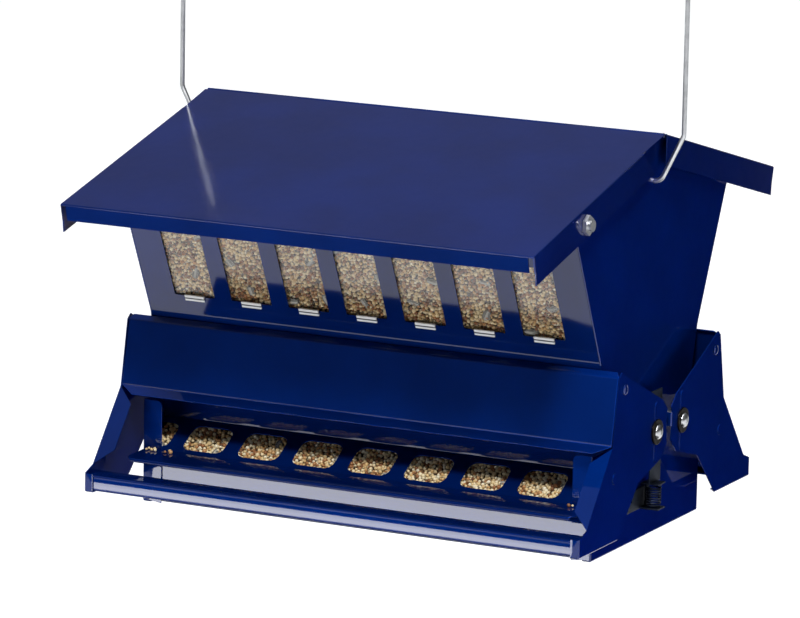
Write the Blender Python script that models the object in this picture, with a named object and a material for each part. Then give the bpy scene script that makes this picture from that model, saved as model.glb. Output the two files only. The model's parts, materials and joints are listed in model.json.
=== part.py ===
"""Two-sided, weight-operated steel bird feeder with a hinged roof lid and a wire bail.

World frame: +Z up, +X along the ridge, -Y is the front. The origin lies on the surface the feeder
stands on, under the middle of its box. A quarter of the feeder is described in (x, d, z), where d is
the distance outward from the upright plane through the ridge direction; `face` is -1 for the front
and +1 for the rear, `side` is +1 for the right end and -1 for the left end.
"""
import math

import bmesh
import bpy
from mathutils import Matrix, Vector
from mathutils.kdtree import KDTree

MM = 0.001
FRONT, REAR = -1, 1
RIGHT, LEFT = 1, -1
FACES = {"front": FRONT, "rear": REAR}
SIDES = {"right": RIGHT, "left": LEFT}

# Sheet metal and clearances
SHEET = 1.0 * MM
BEND_RADIUS = 1.4 * MM
BEND_STEPS = 2
BEND_LEAST_DEG = 3
SHARP_DEG = 35
GAP = 0.3 * MM
OVERRUN = 3.0 * MM
OVERLAP = 0.4 * MM

# Roof
ROOF_LENGTH = 445 * MM
EAVE_HALF_DEPTH = 250 * MM
EAVE_HEIGHT = 286.5 * MM
RIDGE_HEIGHT = 351 * MM
RIDGE_SETBACK = 8 * MM
EAVE_FLANGE = 15 * MM
CORNER_RELIEF = 4.5 * MM
RELIEF_DROP = 1.6 * MM
END_FLANGE = 26 * MM
LID_NOTCH_TOP = 45.9 * MM
LID_NOTCH_FOOT = 27.9 * MM
REAR_NOTCH_TOP = 4.2 * MM
REAR_NOTCH_FOOT = 11 * MM
HINGE_DROP = 2.2 * MM
ROD_RADIUS = 1.2 * MM
KNUCKLE_RADIUS = 2.4 * MM
KNUCKLE_CLEARANCE = 0.6 * MM
PANEL_START = 3.1 * MM
LEAF_START = 0.9 * MM
LID_KNUCKLE_LENGTH = 40 * MM
LID_KNUCKLE_OFFSET = 150 * MM
HINGE_STEPS = 16

# End plates
END_HALF_LENGTH = 217 * MM
BASE_HALF_DEPTH = 111.6 * MM
POST_HEIGHT = 91.6 * MM
POST_WIDTH = 18.5 * MM
POST_CORNER = 5 * MM
FOOT_FLANGE = 8 * MM
CORNER_STEPS = 4

# Hopper walls, measured to their outer faces
WALL_LEDGE_HEIGHT = 170 * MM
WALL_LEDGE_DEPTH = 100.7 * MM
WALL_LEAN_DEG = 25.4
WALL_FOOT_LEAN_DEG = 14.8
WALL_HEAD_CLEARANCE = 1.2 * MM
WALL_FOOT_CLEARANCE = 1.1 * MM
WINDOW_PITCH = 56 * MM
WINDOW_COUNT = 7
WINDOW_WIDTH = 39.5 * MM
WINDOW_FOOT_HEIGHT = 188 * MM
WINDOW_HEIGHT = 66 * MM
WINDOW_CORNER = 1.5 * MM
PANE_THICKNESS = 1.5 * MM
PANE_BORDER = 9 * MM
TAB_WIDTH = 19 * MM
TAB_DROP = 4.2 * MM
TAB_THICKNESS = 1.2 * MM

# Trays with their feeding ports
TRAY_FRONT_DEPTH = 111.2 * MM
TRAY_FRONT_HEIGHT = 47.6 * MM
TRAY_SLOPE_DEG = 30
TRAY_UPSTAND = 11 * MM
SHELF_DEPTH = 146 * MM
SHELF_DROP = 1.6 * MM
SHELF_LIP = 3.2 * MM
SHELF_CORNER = 6 * MM
PORT_PITCH = 54 * MM
PORT_COUNT = 7
PORT_WIDTH = 40 * MM
PORT_LENGTH = 31.7 * MM
PORT_FOOT = 4.8 * MM
PORT_CORNER = 8 * MM

# Base pan and seed divider
PAN_LIFT = 1.3 * MM
APRON_DEPTH = 110.2 * MM
APRON_HEIGHT = 46.3 * MM
DRAIN_LENGTH = 40 * MM
DRAIN_WIDTH = 5 * MM
DRAIN_COLUMNS = 3
DRAIN_PITCH = 120 * MM
DRAIN_DEPTH = 84 * MM
DIVIDER_DEPTH = 66 * MM
DIVIDER_HEIGHT = 50 * MM

# Perch assemblies
ARM_PLANE = 237 * MM
PIVOT_DEPTH = 27 * MM
PIVOT_HEIGHT = 99.5 * MM
SHIELD_TOP_DEPTH = 101 * MM
SHIELD_TOP_HEIGHT = 164.5 * MM
SHIELD_BROW_DEPTH = 105.6 * MM
SHIELD_BROW_HEIGHT = 160.5 * MM
SHIELD_CHIN_DEPTH = 116.4 * MM
SHIELD_CHIN_HEIGHT = 104.6 * MM
SHIELD_LIP_DEPTH = 125 * MM
SHIELD_LIP_HEIGHT = 98 * MM
SHIELD_END_TAB = 22 * MM
SHIELD_TAB_CUT = 8 * MM
SHIELD_TOP_CUT = 3 * MM
SHIELD_LIP_CUT = 14 * MM
TAIL_DEPTH = 4.5 * MM
TAIL_CORNER = 10.5 * MM
TAIL_HEAD_HEIGHT = 125.3 * MM
TAIL_TOP_HEIGHT = 115.4 * MM
TAIL_FOOT_HEIGHT = 86 * MM
SHOULDER_DEPTH = 79 * MM
SHOULDER_HEIGHT = 154 * MM
HEEL_DEPTH = 16.2 * MM
HEEL_HEIGHT = 74 * MM
KNEE_DEPTH = 62 * MM
KNEE_HEIGHT = 61.5 * MM
LEG_DEPTH = 103 * MM
ARM_FOOT_HEIGHT = 19.6 * MM
TOE_DEPTH = 179.6 * MM
TOE_HEIGHT = 36 * MM
ANKLE_DEPTH = 165 * MM
ANKLE_HEIGHT = 41.5 * MM
CHIN_DEPTH = 117 * MM
CHIN_HEIGHT = 102.4 * MM
BROW_DEPTH = 106 * MM
ARM_FLANGE = 16 * MM
ARM_FOOT_FLANGE = 8 * MM
DRIVE_TAB = 14 * MM
IDLE_TAB = 6 * MM
TAB_TOP_HEIGHT = 110 * MM
TAB_FOOT_HEIGHT = 98 * MM
PERCH_DEPTH = 23 * MM
PERCH_HEIGHT = 13.6 * MM
PERCH_REAR_FLANGE = 6 * MM
BEAD_WIDTH = 8.8 * MM
BEAD_RISE = 0.8 * MM
BEAD_REACH = 27 * MM
DIMPLE_RADIUS = 5.2 * MM
DIMPLE_DEPTH = 110.4 * MM
DIMPLE_HEIGHT = 75 * MM

# Pivots
STUD_RADIUS = 4.0 * MM
STUD_CLEARANCE = 0.35 * MM
HEAD_RADIUS = 6.4 * MM
HEAD_HEIGHT = 3.2 * MM
DOME_STEPS = 5
SHOP_HEAD_RADIUS = 6.0 * MM
SHOP_HEAD_HEIGHT = 2.0 * MM
SPACER_RADIUS = 7.0 * MM
WASHER_RADIUS = 11.0 * MM
WASHER_THICKNESS = 1.4 * MM
ROUND_STEPS = 24

# Rivets that join shield and arm
SHIELD_RIVET_DEPTH = 95 * MM
SHIELD_RIVET_HEIGHT = 149 * MM
RIVET_RADIUS = 2.0 * MM
RIVET_HEAD_RADIUS = 4.6 * MM
RIVET_HEAD_HEIGHT = 1.4 * MM
RIVET_STEPS = 16

# Lid catches
CATCH_DEPTH = 149.9 * MM
CATCH_DROP = 14.5 * MM
CATCH_CORNER_RADIUS = 8.8 * MM
CATCH_HEX_HEIGHT = 3.4 * MM
CATCH_CROWN_RADIUS = 5.2 * MM
CATCH_CROWN_HEIGHT = 3.0 * MM
CATCH_NOSE_RADIUS = 3.0 * MM
HEX_STEPS = 6

# Counterbalance: strap, coil spring and anchor
STRAP_PLANE = 226 * MM
STRAP_THICKNESS = 1.2 * MM
STRAP_MIDDLE = 5 * MM
STRAP_WIDTH = 22 * MM
STRAP_TOP = 131 * MM
STRAP_FOOT = 49 * MM
STRAP_WINDOW_NEAR = 2 * MM
STRAP_WINDOW_FAR = 13 * MM
STRAP_PLAY = 0.35 * MM
STRAP_LOST_MOTION = 0.9 * MM
SEAT_REACH = 7.6 * MM
SPRING_RADIUS = 6.9 * MM
SPRING_WIRE = 0.75 * MM
SPRING_TURNS = 8
SPRING_STEPS = 9
SPRING_DEPTH = 7 * MM
ANCHOR_THICKNESS = 1.5 * MM
ANCHOR_HEIGHT = 27 * MM
ANCHOR_PLATE_TOP = 46 * MM
ANCHOR_REACH = 60 * MM
ANCHOR_BORDER = 2 * MM
NOTCH_WIDTH = 4 * MM
NOTCH_LENGTH = 10 * MM
NOTCH_PITCH = 9 * MM
NOTCH_COUNT = 3

# Bail
BAIL_WIRE = 2.2 * MM
BAIL_HEIGHT = 311 * MM
BAIL_LEG = 243 * MM
BAIL_BEND_HEIGHT = 352 * MM
BAIL_SHOULDER_HEIGHT = 480 * MM
BAIL_NECK_HEIGHT = 558 * MM
BAIL_NECK_HALF_WIDTH = 9 * MM
BAIL_EYE_RADIUS = 15 * MM
BAIL_HOOK = 8 * MM
BAIL_HOOK_PLANE = 209 * MM
BAIL_KNEE = 222.5 * MM
BAIL_CLEARANCE = 0.4 * MM
BAIL_BEND_RADIUS = 9 * MM
BAIL_HOOK_RADIUS = 3.4 * MM
BAIL_EYE_STEPS = 18

# Finishes
BLUE = (0.006, 0.03, 0.22)
ZINC = (0.62, 0.63, 0.65)
BRONZE = (0.19, 0.13, 0.08)
CLEAR = (0.9, 0.92, 0.93)
CLEAR_ALPHA = 0.35


def rise(degrees):
    """Height gained for each unit of depth on a slope."""
    return math.tan(math.radians(degrees))


def roof_top(depth, face):
    """Height of a roof panel's top surface at a distance outward from the middle plane."""
    ridge_depth = RIDGE_SETBACK * face
    share = (depth - ridge_depth) / (EAVE_HALF_DEPTH - ridge_depth)
    return RIDGE_HEIGHT - share * (RIDGE_HEIGHT - EAVE_HEIGHT)


def roof_angle(face):
    """Pitch of the roof panel on one face."""
    return math.atan2(RIDGE_HEIGHT - EAVE_HEIGHT, EAVE_HALF_DEPTH - RIDGE_SETBACK * face)


def roof_frame(face):
    """Down-slope and inward directions of a roof panel, in (depth, height)."""
    angle = roof_angle(face)
    return (math.cos(angle), -math.sin(angle)), (-math.sin(angle), -math.cos(angle))


def roof_underside(depth, face):
    """Height just under a roof panel, with a gap, at a distance outward."""
    return roof_top(depth, face) - (SHEET + GAP) / math.cos(roof_angle(face))


def hinge_axis():
    """World y and height of the ridge hinge."""
    return RIDGE_SETBACK, RIDGE_HEIGHT - HINGE_DROP


def wall_depth(height):
    """Distance outward of a hopper wall's outer face at one height."""
    lean = WALL_LEAN_DEG if height >= WALL_LEDGE_HEIGHT else WALL_FOOT_LEAN_DEG
    return WALL_LEDGE_DEPTH + (height - WALL_LEDGE_HEIGHT) * rise(lean)


def wall_head(face, clearance):
    """Where a hopper wall's outer face stops below the roof."""
    low, high = WALL_LEDGE_HEIGHT, RIDGE_HEIGHT
    while high - low > GAP / 100:
        middle = (low + high) / 2
        if roof_underside(wall_depth(middle), face) - clearance > middle:
            low = middle
        else:
            high = middle
    return wall_depth(low), low


def meets_tray(inset, lift):
    """Where a line inset from the wall's lower face meets the tray's plate, raised by a lift."""
    lean = math.radians(WALL_FOOT_LEAN_DEG)
    both = math.tan(lean) * rise(TRAY_SLOPE_DEG)
    start = WALL_LEDGE_DEPTH - inset / math.cos(lean)
    drop = WALL_LEDGE_HEIGHT - TRAY_FRONT_HEIGHT - lift / math.cos(math.radians(TRAY_SLOPE_DEG))
    depth = (start - drop * math.tan(lean) + TRAY_FRONT_DEPTH * both) / (1 + both)
    return depth, WALL_LEDGE_HEIGHT - (start - depth) / math.tan(lean)


def wall_foot():
    """Outer corner of the wall's foot, which laps the tray's upstand and clears its plate."""
    lean = math.radians(WALL_FOOT_LEAN_DEG)
    depth, height = meets_tray(SHEET, WALL_FOOT_CLEARANCE)
    return depth + SHEET * math.cos(lean), height - SHEET * math.sin(lean)


def tray_path():
    """Section of a tray's top face: upstand, plate, shelf and lip."""
    lean = math.radians(WALL_FOOT_LEAN_DEG)
    depth, height = meets_tray(SHEET + GAP, 0)
    head = (depth + TRAY_UPSTAND * math.sin(lean), height + TRAY_UPSTAND * math.cos(lean))
    shelf = TRAY_FRONT_HEIGHT - SHELF_DROP
    return [head, (depth, height), (TRAY_FRONT_DEPTH, TRAY_FRONT_HEIGHT), (SHELF_DEPTH, shelf),
            (SHELF_DEPTH, shelf - SHELF_LIP)]


def material(name, colour, roughness, metallic, alpha=1.0):
    """A Principled material with one colour."""
    made = bpy.data.materials.new(name)
    made.use_nodes = True
    shader = made.node_tree.nodes["Principled BSDF"]
    shader.inputs["Base Color"].default_value = (*colour, 1.0)
    shader.inputs["Roughness"].default_value = roughness
    shader.inputs["Metallic"].default_value = metallic
    shader.inputs["Alpha"].default_value = alpha
    return made


def link(name, data, finish=None):
    """Put one datablock in the scene as a named object."""
    made = bpy.data.objects.new(name, data)
    bpy.context.scene.collection.objects.link(made)
    if finish:
        data.materials.append(finish)
    return made


def solid(name, shape, finish=None):
    """A closed body whose faces are turned outward."""
    points, faces = shape
    mesh = bpy.data.meshes.new(name)
    mesh.from_pydata(points, [], faces)
    work = bmesh.new()
    work.from_mesh(mesh)
    bmesh.ops.recalc_face_normals(work, faces=work.faces)
    work.to_mesh(mesh)
    work.free()
    return link(name, mesh, finish)


def sheet(name, points, faces, outward, finish, side=RIGHT, face=REAR):
    """A bent sheet: its outer surface, rounded at the bends and given its thickness inward.

    The first face looks toward `outward`, and every other face is turned to agree with it."""
    mesh = bpy.data.meshes.new(name)
    mesh.from_pydata([(x * side, depth * face, height) for x, depth, height in points], [], faces)
    work = bmesh.new()
    work.from_mesh(mesh)
    work.faces.ensure_lookup_table()
    bmesh.ops.recalc_face_normals(work, faces=work.faces)
    wanted = Vector((outward[0] * side, outward[1] * face, outward[2]))
    work.faces[0].normal_update()
    if work.faces[0].normal.dot(wanted) < 0:
        bmesh.ops.reverse_faces(work, faces=work.faces)
    work.to_mesh(mesh)
    work.free()
    made = link(name, mesh, finish)
    rounding = made.modifiers.new("bends", "BEVEL")
    rounding.width = BEND_RADIUS
    rounding.segments = BEND_STEPS
    rounding.limit_method = "ANGLE"
    rounding.angle_limit = math.radians(BEND_LEAST_DEG)
    thickness = made.modifiers.new("thickness", "SOLIDIFY")
    thickness.thickness = SHEET
    thickness.offset = -1
    thickness.solidify_mode = "NON_MANIFOLD"
    thickness.nonmanifold_thickness_mode = "CONSTRAINTS"
    return made


def folded(name, path, half_length, outward, finish, face=REAR):
    """A sheet bent only along X, from a path in (depth, height)."""
    points = []
    for depth, height in path:
        points += [(-half_length, depth, height), (half_length, depth, height)]
    faces = [(2 * i, 2 * i + 1, 2 * i + 3, 2 * i + 2) for i in range(len(path) - 1)]
    return sheet(name, points, faces, outward, finish, RIGHT, face)


def prism(outline, origin, across, along, start, stop):
    """An outline in a tilted frame, drawn out along the frame's normal."""
    across, along = Vector(across), Vector(along)
    normal = across.cross(along)
    count = len(outline)
    points = []
    for reach in (start, stop):
        points += [tuple(Vector(origin) + across * u + along * v + normal * reach) for u, v in outline]
    faces = [tuple(range(count)), tuple(range(count, 2 * count))]
    for i in range(count):
        j = (i + 1) % count
        faces.append((i, j, count + j, count + i))
    return points, faces


def end_prism(outline, side, face, centre, start, stop):
    """A prism along X at one end, from an outline about a centre in (depth, height)."""
    depth, height = centre
    return prism(outline, (0, face * depth, height), (0, 1, 0), (0, 0, 1), side * start, side * stop)


def block(low, high, side, face):
    """A rectangular block between two corners of the rear right quarter, carried to another."""
    ends = [(x * side, depth * face, height) for x, depth, height in (low, high)]
    (near_x, near_y, _), (far_x, far_y, _) = ends
    outline = [(near_x, near_y), (far_x, near_y), (far_x, far_y), (near_x, far_y)]
    return prism(outline, (0, 0, 0), (1, 0, 0), (0, 1, 0), low[2], high[2])


def bore(radius, side, face, centre, plane, steps=ROUND_STEPS):
    """Cutter for a round hole through the sheet at one plane along X."""
    return end_prism(circle(radius, steps), side, face, centre, plane - OVERRUN, plane + OVERRUN)


def joined(shapes):
    """Several closed shapes as one list of points and faces."""
    points, faces = [], []
    for shape_points, shape_faces in shapes:
        base = len(points)
        points += shape_points
        faces += [tuple(base + i for i in loop) for loop in shape_faces]
    return points, faces


def rounded_rectangle(width, height, radius, steps=CORNER_STEPS):
    """Outline of a rectangle with round corners, about its own centre."""
    points = []
    for quarter, (right, up) in enumerate([(1, 1), (-1, 1), (-1, -1), (1, -1)]):
        for i in range(steps + 1):
            turn = math.radians(90) * (quarter + i / steps)
            points.append((right * (width / 2 - radius) + radius * math.cos(turn),
                           up * (height / 2 - radius) + radius * math.sin(turn)))
    return points


def circle(radius, steps=ROUND_STEPS, turn=0.0):
    """Points round a circle about the frame's origin."""
    angles = [turn + math.tau * i / steps for i in range(steps)]
    return [(radius * math.cos(angle), radius * math.sin(angle)) for angle in angles]


def shaped(target, label, shapes, operation):
    """Cut shapes out of a piece, or join them to it, through a hidden guide body."""
    guide = solid(target.name + "_" + label, joined(shapes))
    guide.hide_render = True
    guide.display_type = "WIRE"
    change = target.modifiers.new(label, "BOOLEAN")
    change.operation = operation
    change.solver = "EXACT"
    change.object = guide


def turned(name, profile, centre, side, finish, steps=ROUND_STEPS):
    """A round body about an axis along X, from (distance outward, radius) pairs."""
    points, rings = [], []
    for outward, radius in profile:
        first = len(points)
        around = circle(radius, steps) if radius else [(0, 0)]
        points += [(side * outward, centre[0] + u, centre[1] + v) for u, v in around]
        rings.append([first + i for i in range(steps)] if radius else [first] * steps)
    pairs = list(zip(rings, rings[1:]))
    if profile[0][1]:
        pairs.append((rings[-1], rings[0]))
    faces = []
    for near, far in pairs:
        for i in range(steps):
            j = (i + 1) % steps
            faces.append(tuple(dict.fromkeys((near[i], near[j], far[j], far[i]))))
    made = solid(name, (points, faces), finish)
    made.data.shade_smooth()
    made.data.set_sharp_from_angle(angle=math.radians(SHARP_DEG))
    return made


def wire(name, route, radius, resolution, finish):
    """A round wire along a list of points."""
    curve = bpy.data.curves.new(name, "CURVE")
    curve.dimensions = "3D"
    curve.bevel_depth = radius
    curve.bevel_resolution = resolution
    curve.use_fill_caps = True
    line = curve.splines.new("POLY")
    line.points.add(len(route) - 1)
    for point, place in zip(line.points, route):
        point.co = (*place, 1.0)
    line.use_smooth = True
    return link(name, curve, finish)


def rounded_route(corners, radii, steps=CORNER_STEPS):
    """A polyline whose inner corners are replaced by arcs."""
    route = [Vector(corners[0])]
    for before, corner, after, radius in zip(corners, corners[1:], corners[2:], radii):
        corner = Vector(corner)
        inward = (Vector(before) - corner).normalized()
        outward = (Vector(after) - corner).normalized()
        half = inward.angle(outward) / 2
        middle = corner + (inward + outward).normalized() * (radius / math.sin(half))
        start = corner + inward * (radius / math.tan(half)) - middle
        stop = corner + outward * (radius / math.tan(half)) - middle
        sweep = start.angle(stop)
        for i in range(steps + 1):
            turn = sweep * i / steps
            weight = math.sin(sweep - turn) / math.sin(sweep), math.sin(turn) / math.sin(sweep)
            route.append(middle + start * weight[0] + stop * weight[1])
    route.append(Vector(corners[-1]))
    return route


def on_axis(name, place, pieces):
    """Hang moving pieces on an empty on their joint's axis."""
    axis = bpy.data.objects.new(name, None)
    axis.location = place
    bpy.context.scene.collection.objects.link(axis)
    for piece in pieces:
        piece.parent = axis
        piece.matrix_parent_inverse = Matrix.Translation(-Vector(place))
    return axis


def hinge_spans():
    """The lid's two knuckles along X, and the rear roof's three between and beside them."""
    half = LID_KNUCKLE_LENGTH / 2
    edge = ROOF_LENGTH / 2 - SHEET - KNUCKLE_CLEARANCE
    lid = [(side * LID_KNUCKLE_OFFSET - half, side * LID_KNUCKLE_OFFSET + half) for side in (LEFT, RIGHT)]
    rear = [(-edge, lid[0][0] - KNUCKLE_CLEARANCE),
            (lid[0][1] + KNUCKLE_CLEARANCE, lid[1][0] - KNUCKLE_CLEARANCE),
            (lid[1][1] + KNUCKLE_CLEARANCE, edge)]
    return lid, rear


def build_roof_panel(name, face, spans, notch_top, notch_foot, finish):
    """One roof panel with its eave flange, two end flanges and the knuckles it turns on.

    Distances run from the ridge line down the slope and, for the flanges, square to the panel."""
    (along_d, along_z), (in_d, in_z) = roof_frame(face)
    ridge_depth = RIDGE_SETBACK * face
    length = (EAVE_HALF_DEPTH - ridge_depth) / along_d
    half = ROOF_LENGTH / 2

    def at(x, slope, drop):
        depth = ridge_depth + along_d * slope + in_d * drop
        return x, depth, RIDGE_HEIGHT + along_z * slope + in_z * drop

    points = []
    for x in (-half, half):
        points += [at(x, notch_top, 0), at(x, length, 0), at(x, length, EAVE_FLANGE),
                   at(x, length, END_FLANGE), at(x, notch_foot, END_FLANGE)]
    top_l, eave_l, hem_l, tip_l, foot_l, top_r, eave_r, hem_r, tip_r, foot_r = range(len(points))
    edge = [at(half, PANEL_START, 0)]
    for start, stop in reversed(spans):
        edge += [at(stop, PANEL_START, 0), at(stop, LEAF_START, 0),
                 at(start, LEAF_START, 0), at(start, PANEL_START, 0)]
    edge.append(at(-half, PANEL_START, 0))
    first = len(points)
    points += edge
    faces = [(top_l, eave_l, eave_r, top_r, *range(first, len(points))), (eave_l, hem_l, hem_r, eave_r),
             (top_r, eave_r, hem_r, tip_r, foot_r), (top_l, eave_l, hem_l, tip_l, foot_l)]
    panel = sheet(name, points, faces, (0, 0, 1), finish, RIGHT, face)

    low = EAVE_HALF_DEPTH - END_FLANGE, EAVE_HEIGHT - END_FLANGE
    high = EAVE_HALF_DEPTH + OVERRUN, EAVE_HEIGHT - RELIEF_DROP
    stop = half - SHEET
    reliefs = [block((stop - CORNER_RELIEF, *low), (stop, *high), side, face) for side in (LEFT, RIGHT)]
    shaped(panel, "corner_reliefs", reliefs, "DIFFERENCE")

    y, height = hinge_axis()
    tubes = [end_prism(circle(KNUCKLE_RADIUS, HINGE_STEPS), RIGHT, REAR, (y, height), start, stop)
             for start, stop in spans]
    shaped(panel, "knuckles", tubes, "UNION")
    passage = circle(ROD_RADIUS + GAP, HINGE_STEPS)
    passage = end_prism(passage, RIGHT, REAR, (y, height), -ROOF_LENGTH, ROOF_LENGTH)
    shaped(panel, "rod_bore", [passage], "DIFFERENCE")
    return panel


def catch_centre():
    """Depth and height of the lid catches, on the lid's end flanges."""
    return CATCH_DEPTH, roof_top(CATCH_DEPTH, FRONT) - CATCH_DROP


def build_lid(blue):
    """Front half of the roof, which opens on the ridge hinge."""
    lid = build_roof_panel("roof_lid", FRONT, hinge_spans()[0], LID_NOTCH_TOP, LID_NOTCH_FOOT, blue)
    holes = [bore(CATCH_NOSE_RADIUS + GAP, side, FRONT, catch_centre(), ROOF_LENGTH / 2)
             for side in (LEFT, RIGHT)]
    shaped(lid, "catch_holes", holes, "DIFFERENCE")
    return lid


def build_catch(name, side, steel):
    """Catch in the lid's end flange: a hexagon, a crown and a nose that ends at the end plate."""
    plane = ROOF_LENGTH / 2 + GAP
    outer = plane + CATCH_HEX_HEIGHT
    nose = END_HALF_LENGTH + GAP
    hexagon = circle(CATCH_CORNER_RADIUS, HEX_STEPS, math.radians(90))
    catch = solid(name, end_prism(hexagon, side, FRONT, catch_centre(), plane, outer), steel)
    shapes = [end_prism(circle(CATCH_NOSE_RADIUS), side, FRONT, catch_centre(), nose, plane + OVERLAP),
              end_prism(circle(CATCH_CROWN_RADIUS), side, FRONT, catch_centre(), outer - OVERLAP,
                        outer + CATCH_CROWN_HEIGHT)]
    shaped(catch, "turned", shapes, "UNION")
    return catch


def build_rod(steel):
    """Rod through all the knuckles of the ridge hinge."""
    end = ROOF_LENGTH / 2 - SHEET - GAP
    profile = [(-end, 0), (-end, ROD_RADIUS), (end, ROD_RADIUS), (end, 0)]
    return turned("ridge_hinge_rod", profile, hinge_axis(), RIGHT, steel, HINGE_STEPS)


def end_plate_outline():
    """Closed outline of an end plate in (y, height), from its apex down the rear and up the front."""
    flat = hinge_axis()[1] - KNUCKLE_RADIUS - GAP
    halves = []
    for face in (REAR, FRONT):
        ridge_depth = RIDGE_SETBACK * face
        slope = (RIDGE_HEIGHT - EAVE_HEIGHT) / (EAVE_HALF_DEPTH - ridge_depth)
        apex = ridge_depth + (roof_underside(ridge_depth, face) - flat) / slope
        run = [(apex, flat), wall_head(face, 0), (WALL_LEDGE_DEPTH, WALL_LEDGE_HEIGHT),
               (wall_depth(POST_HEIGHT), POST_HEIGHT), (BASE_HALF_DEPTH, POST_HEIGHT), (BASE_HALF_DEPTH, 0)]
        halves.append([(depth * face, height) for depth, height in run])
    return halves[0] + halves[1][::-1]


def build_end_plate(name, side, blue):
    """Hopper end and base end in one sheet, with folded posts and a folded foot."""
    x = END_HALF_LENGTH
    points = [(x, y, height) for y, height in end_plate_outline()]
    count = len(points)
    rear_top, rear_foot, front_foot, front_top = range(4, 8)
    inner = x - POST_WIDTH
    turns = [math.radians(90) * i / CORNER_STEPS for i in range(CORNER_STEPS + 1)]
    post = [(x - FOOT_FLANGE, 0), (inner, 0)]
    post += [(inner + POST_CORNER * (1 - math.cos(turn)), POST_HEIGHT - POST_CORNER * (1 - math.sin(turn)))
             for turn in turns]
    points += [(px, BASE_HALF_DEPTH, height) for px, height in post]
    points += [(px, -BASE_HALF_DEPTH, height) for px, height in post]
    rear_post = range(count, count + len(post))
    front_post = range(rear_post.stop, rear_post.stop + len(post))
    faces = [tuple(range(count)), (rear_foot, *rear_post, rear_top), (front_foot, *front_post, front_top),
             (rear_foot, front_foot, front_post.start, rear_post.start)]
    plate = sheet(name, points, faces, (1, 0, 0), blue, side)

    pivot = PIVOT_DEPTH, PIVOT_HEIGHT
    holes = [bore(STUD_RADIUS + STUD_CLEARANCE, side, face, pivot, x) for face in (FRONT, REAR)]
    holes.append(bore(BAIL_WIRE + BAIL_CLEARANCE, side, REAR, (0, BAIL_HEIGHT), x))
    shaped(plate, "holes", holes, "DIFFERENCE")
    return plate


def wall_frame(face):
    """Origin, across and up-slope directions on a hopper wall's outer face; the normal points out."""
    lean = math.radians(WALL_LEAN_DEG)
    origin = (0, face * WALL_LEDGE_DEPTH, WALL_LEDGE_HEIGHT)
    return origin, (-face, 0, 0), (0, face * math.sin(lean), math.cos(lean))


def window_rows():
    """Foot and head of the windows, as distances up the wall from its ledge."""
    scale = math.cos(math.radians(WALL_LEAN_DEG))
    foot = (WINDOW_FOOT_HEIGHT - WALL_LEDGE_HEIGHT) / scale
    return foot, foot + WINDOW_HEIGHT / scale


def window_places():
    """Places of the windows along X."""
    return [(i - (WINDOW_COUNT - 1) / 2) * WINDOW_PITCH for i in range(WINDOW_COUNT)]


def build_wall(name, face, blue):
    """Leaning hopper wall with a row of windows."""
    half = END_HALF_LENGTH - SHEET - GAP
    path = [wall_head(face, WALL_HEAD_CLEARANCE), (WALL_LEDGE_DEPTH, WALL_LEDGE_HEIGHT), wall_foot()]
    wall = folded(name, path, half, (0, 1, 0), blue, face)
    low, high = window_rows()
    window = rounded_rectangle(WINDOW_WIDTH, high - low, WINDOW_CORNER)
    shapes = []
    for place in window_places():
        outline = [(u + place, v + (low + high) / 2) for u, v in window]
        shapes.append(prism(outline, *wall_frame(face), -OVERRUN, OVERRUN))
    shaped(wall, "windows", shapes, "DIFFERENCE")
    return wall


def build_pane(name, face, clear):
    """Clear sheet behind a wall's windows, with a tab hooked over the foot of each window."""
    origin, across, along = wall_frame(face)
    low, high = window_rows()
    half = window_places()[-1] + WINDOW_WIDTH / 2 + PANE_BORDER
    outline = [(-half, low - PANE_BORDER), (half, low - PANE_BORDER), (half, high + PANE_BORDER),
               (-half, high + PANE_BORDER)]
    front = -SHEET - GAP
    pane = solid(name, prism(outline, origin, across, along, front - PANE_THICKNESS, front), clear)
    root, near, far = front - PANE_THICKNESS / 2, GAP, GAP + TAB_THICKNESS
    under, over, foot = low + GAP, low + GAP + TAB_THICKNESS, low - TAB_DROP
    hook = [(root, under), (near, under), (near, foot), (far, foot), (far, over), (root, over)]
    normal = Vector(across).cross(Vector(along))
    starts = [Vector(origin) + Vector(across) * place for place in window_places()]
    tabs = [prism(hook, start, normal, along, -TAB_WIDTH / 2, TAB_WIDTH / 2) for start in starts]
    shaped(pane, "tabs", tabs, "UNION")
    return pane


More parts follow.
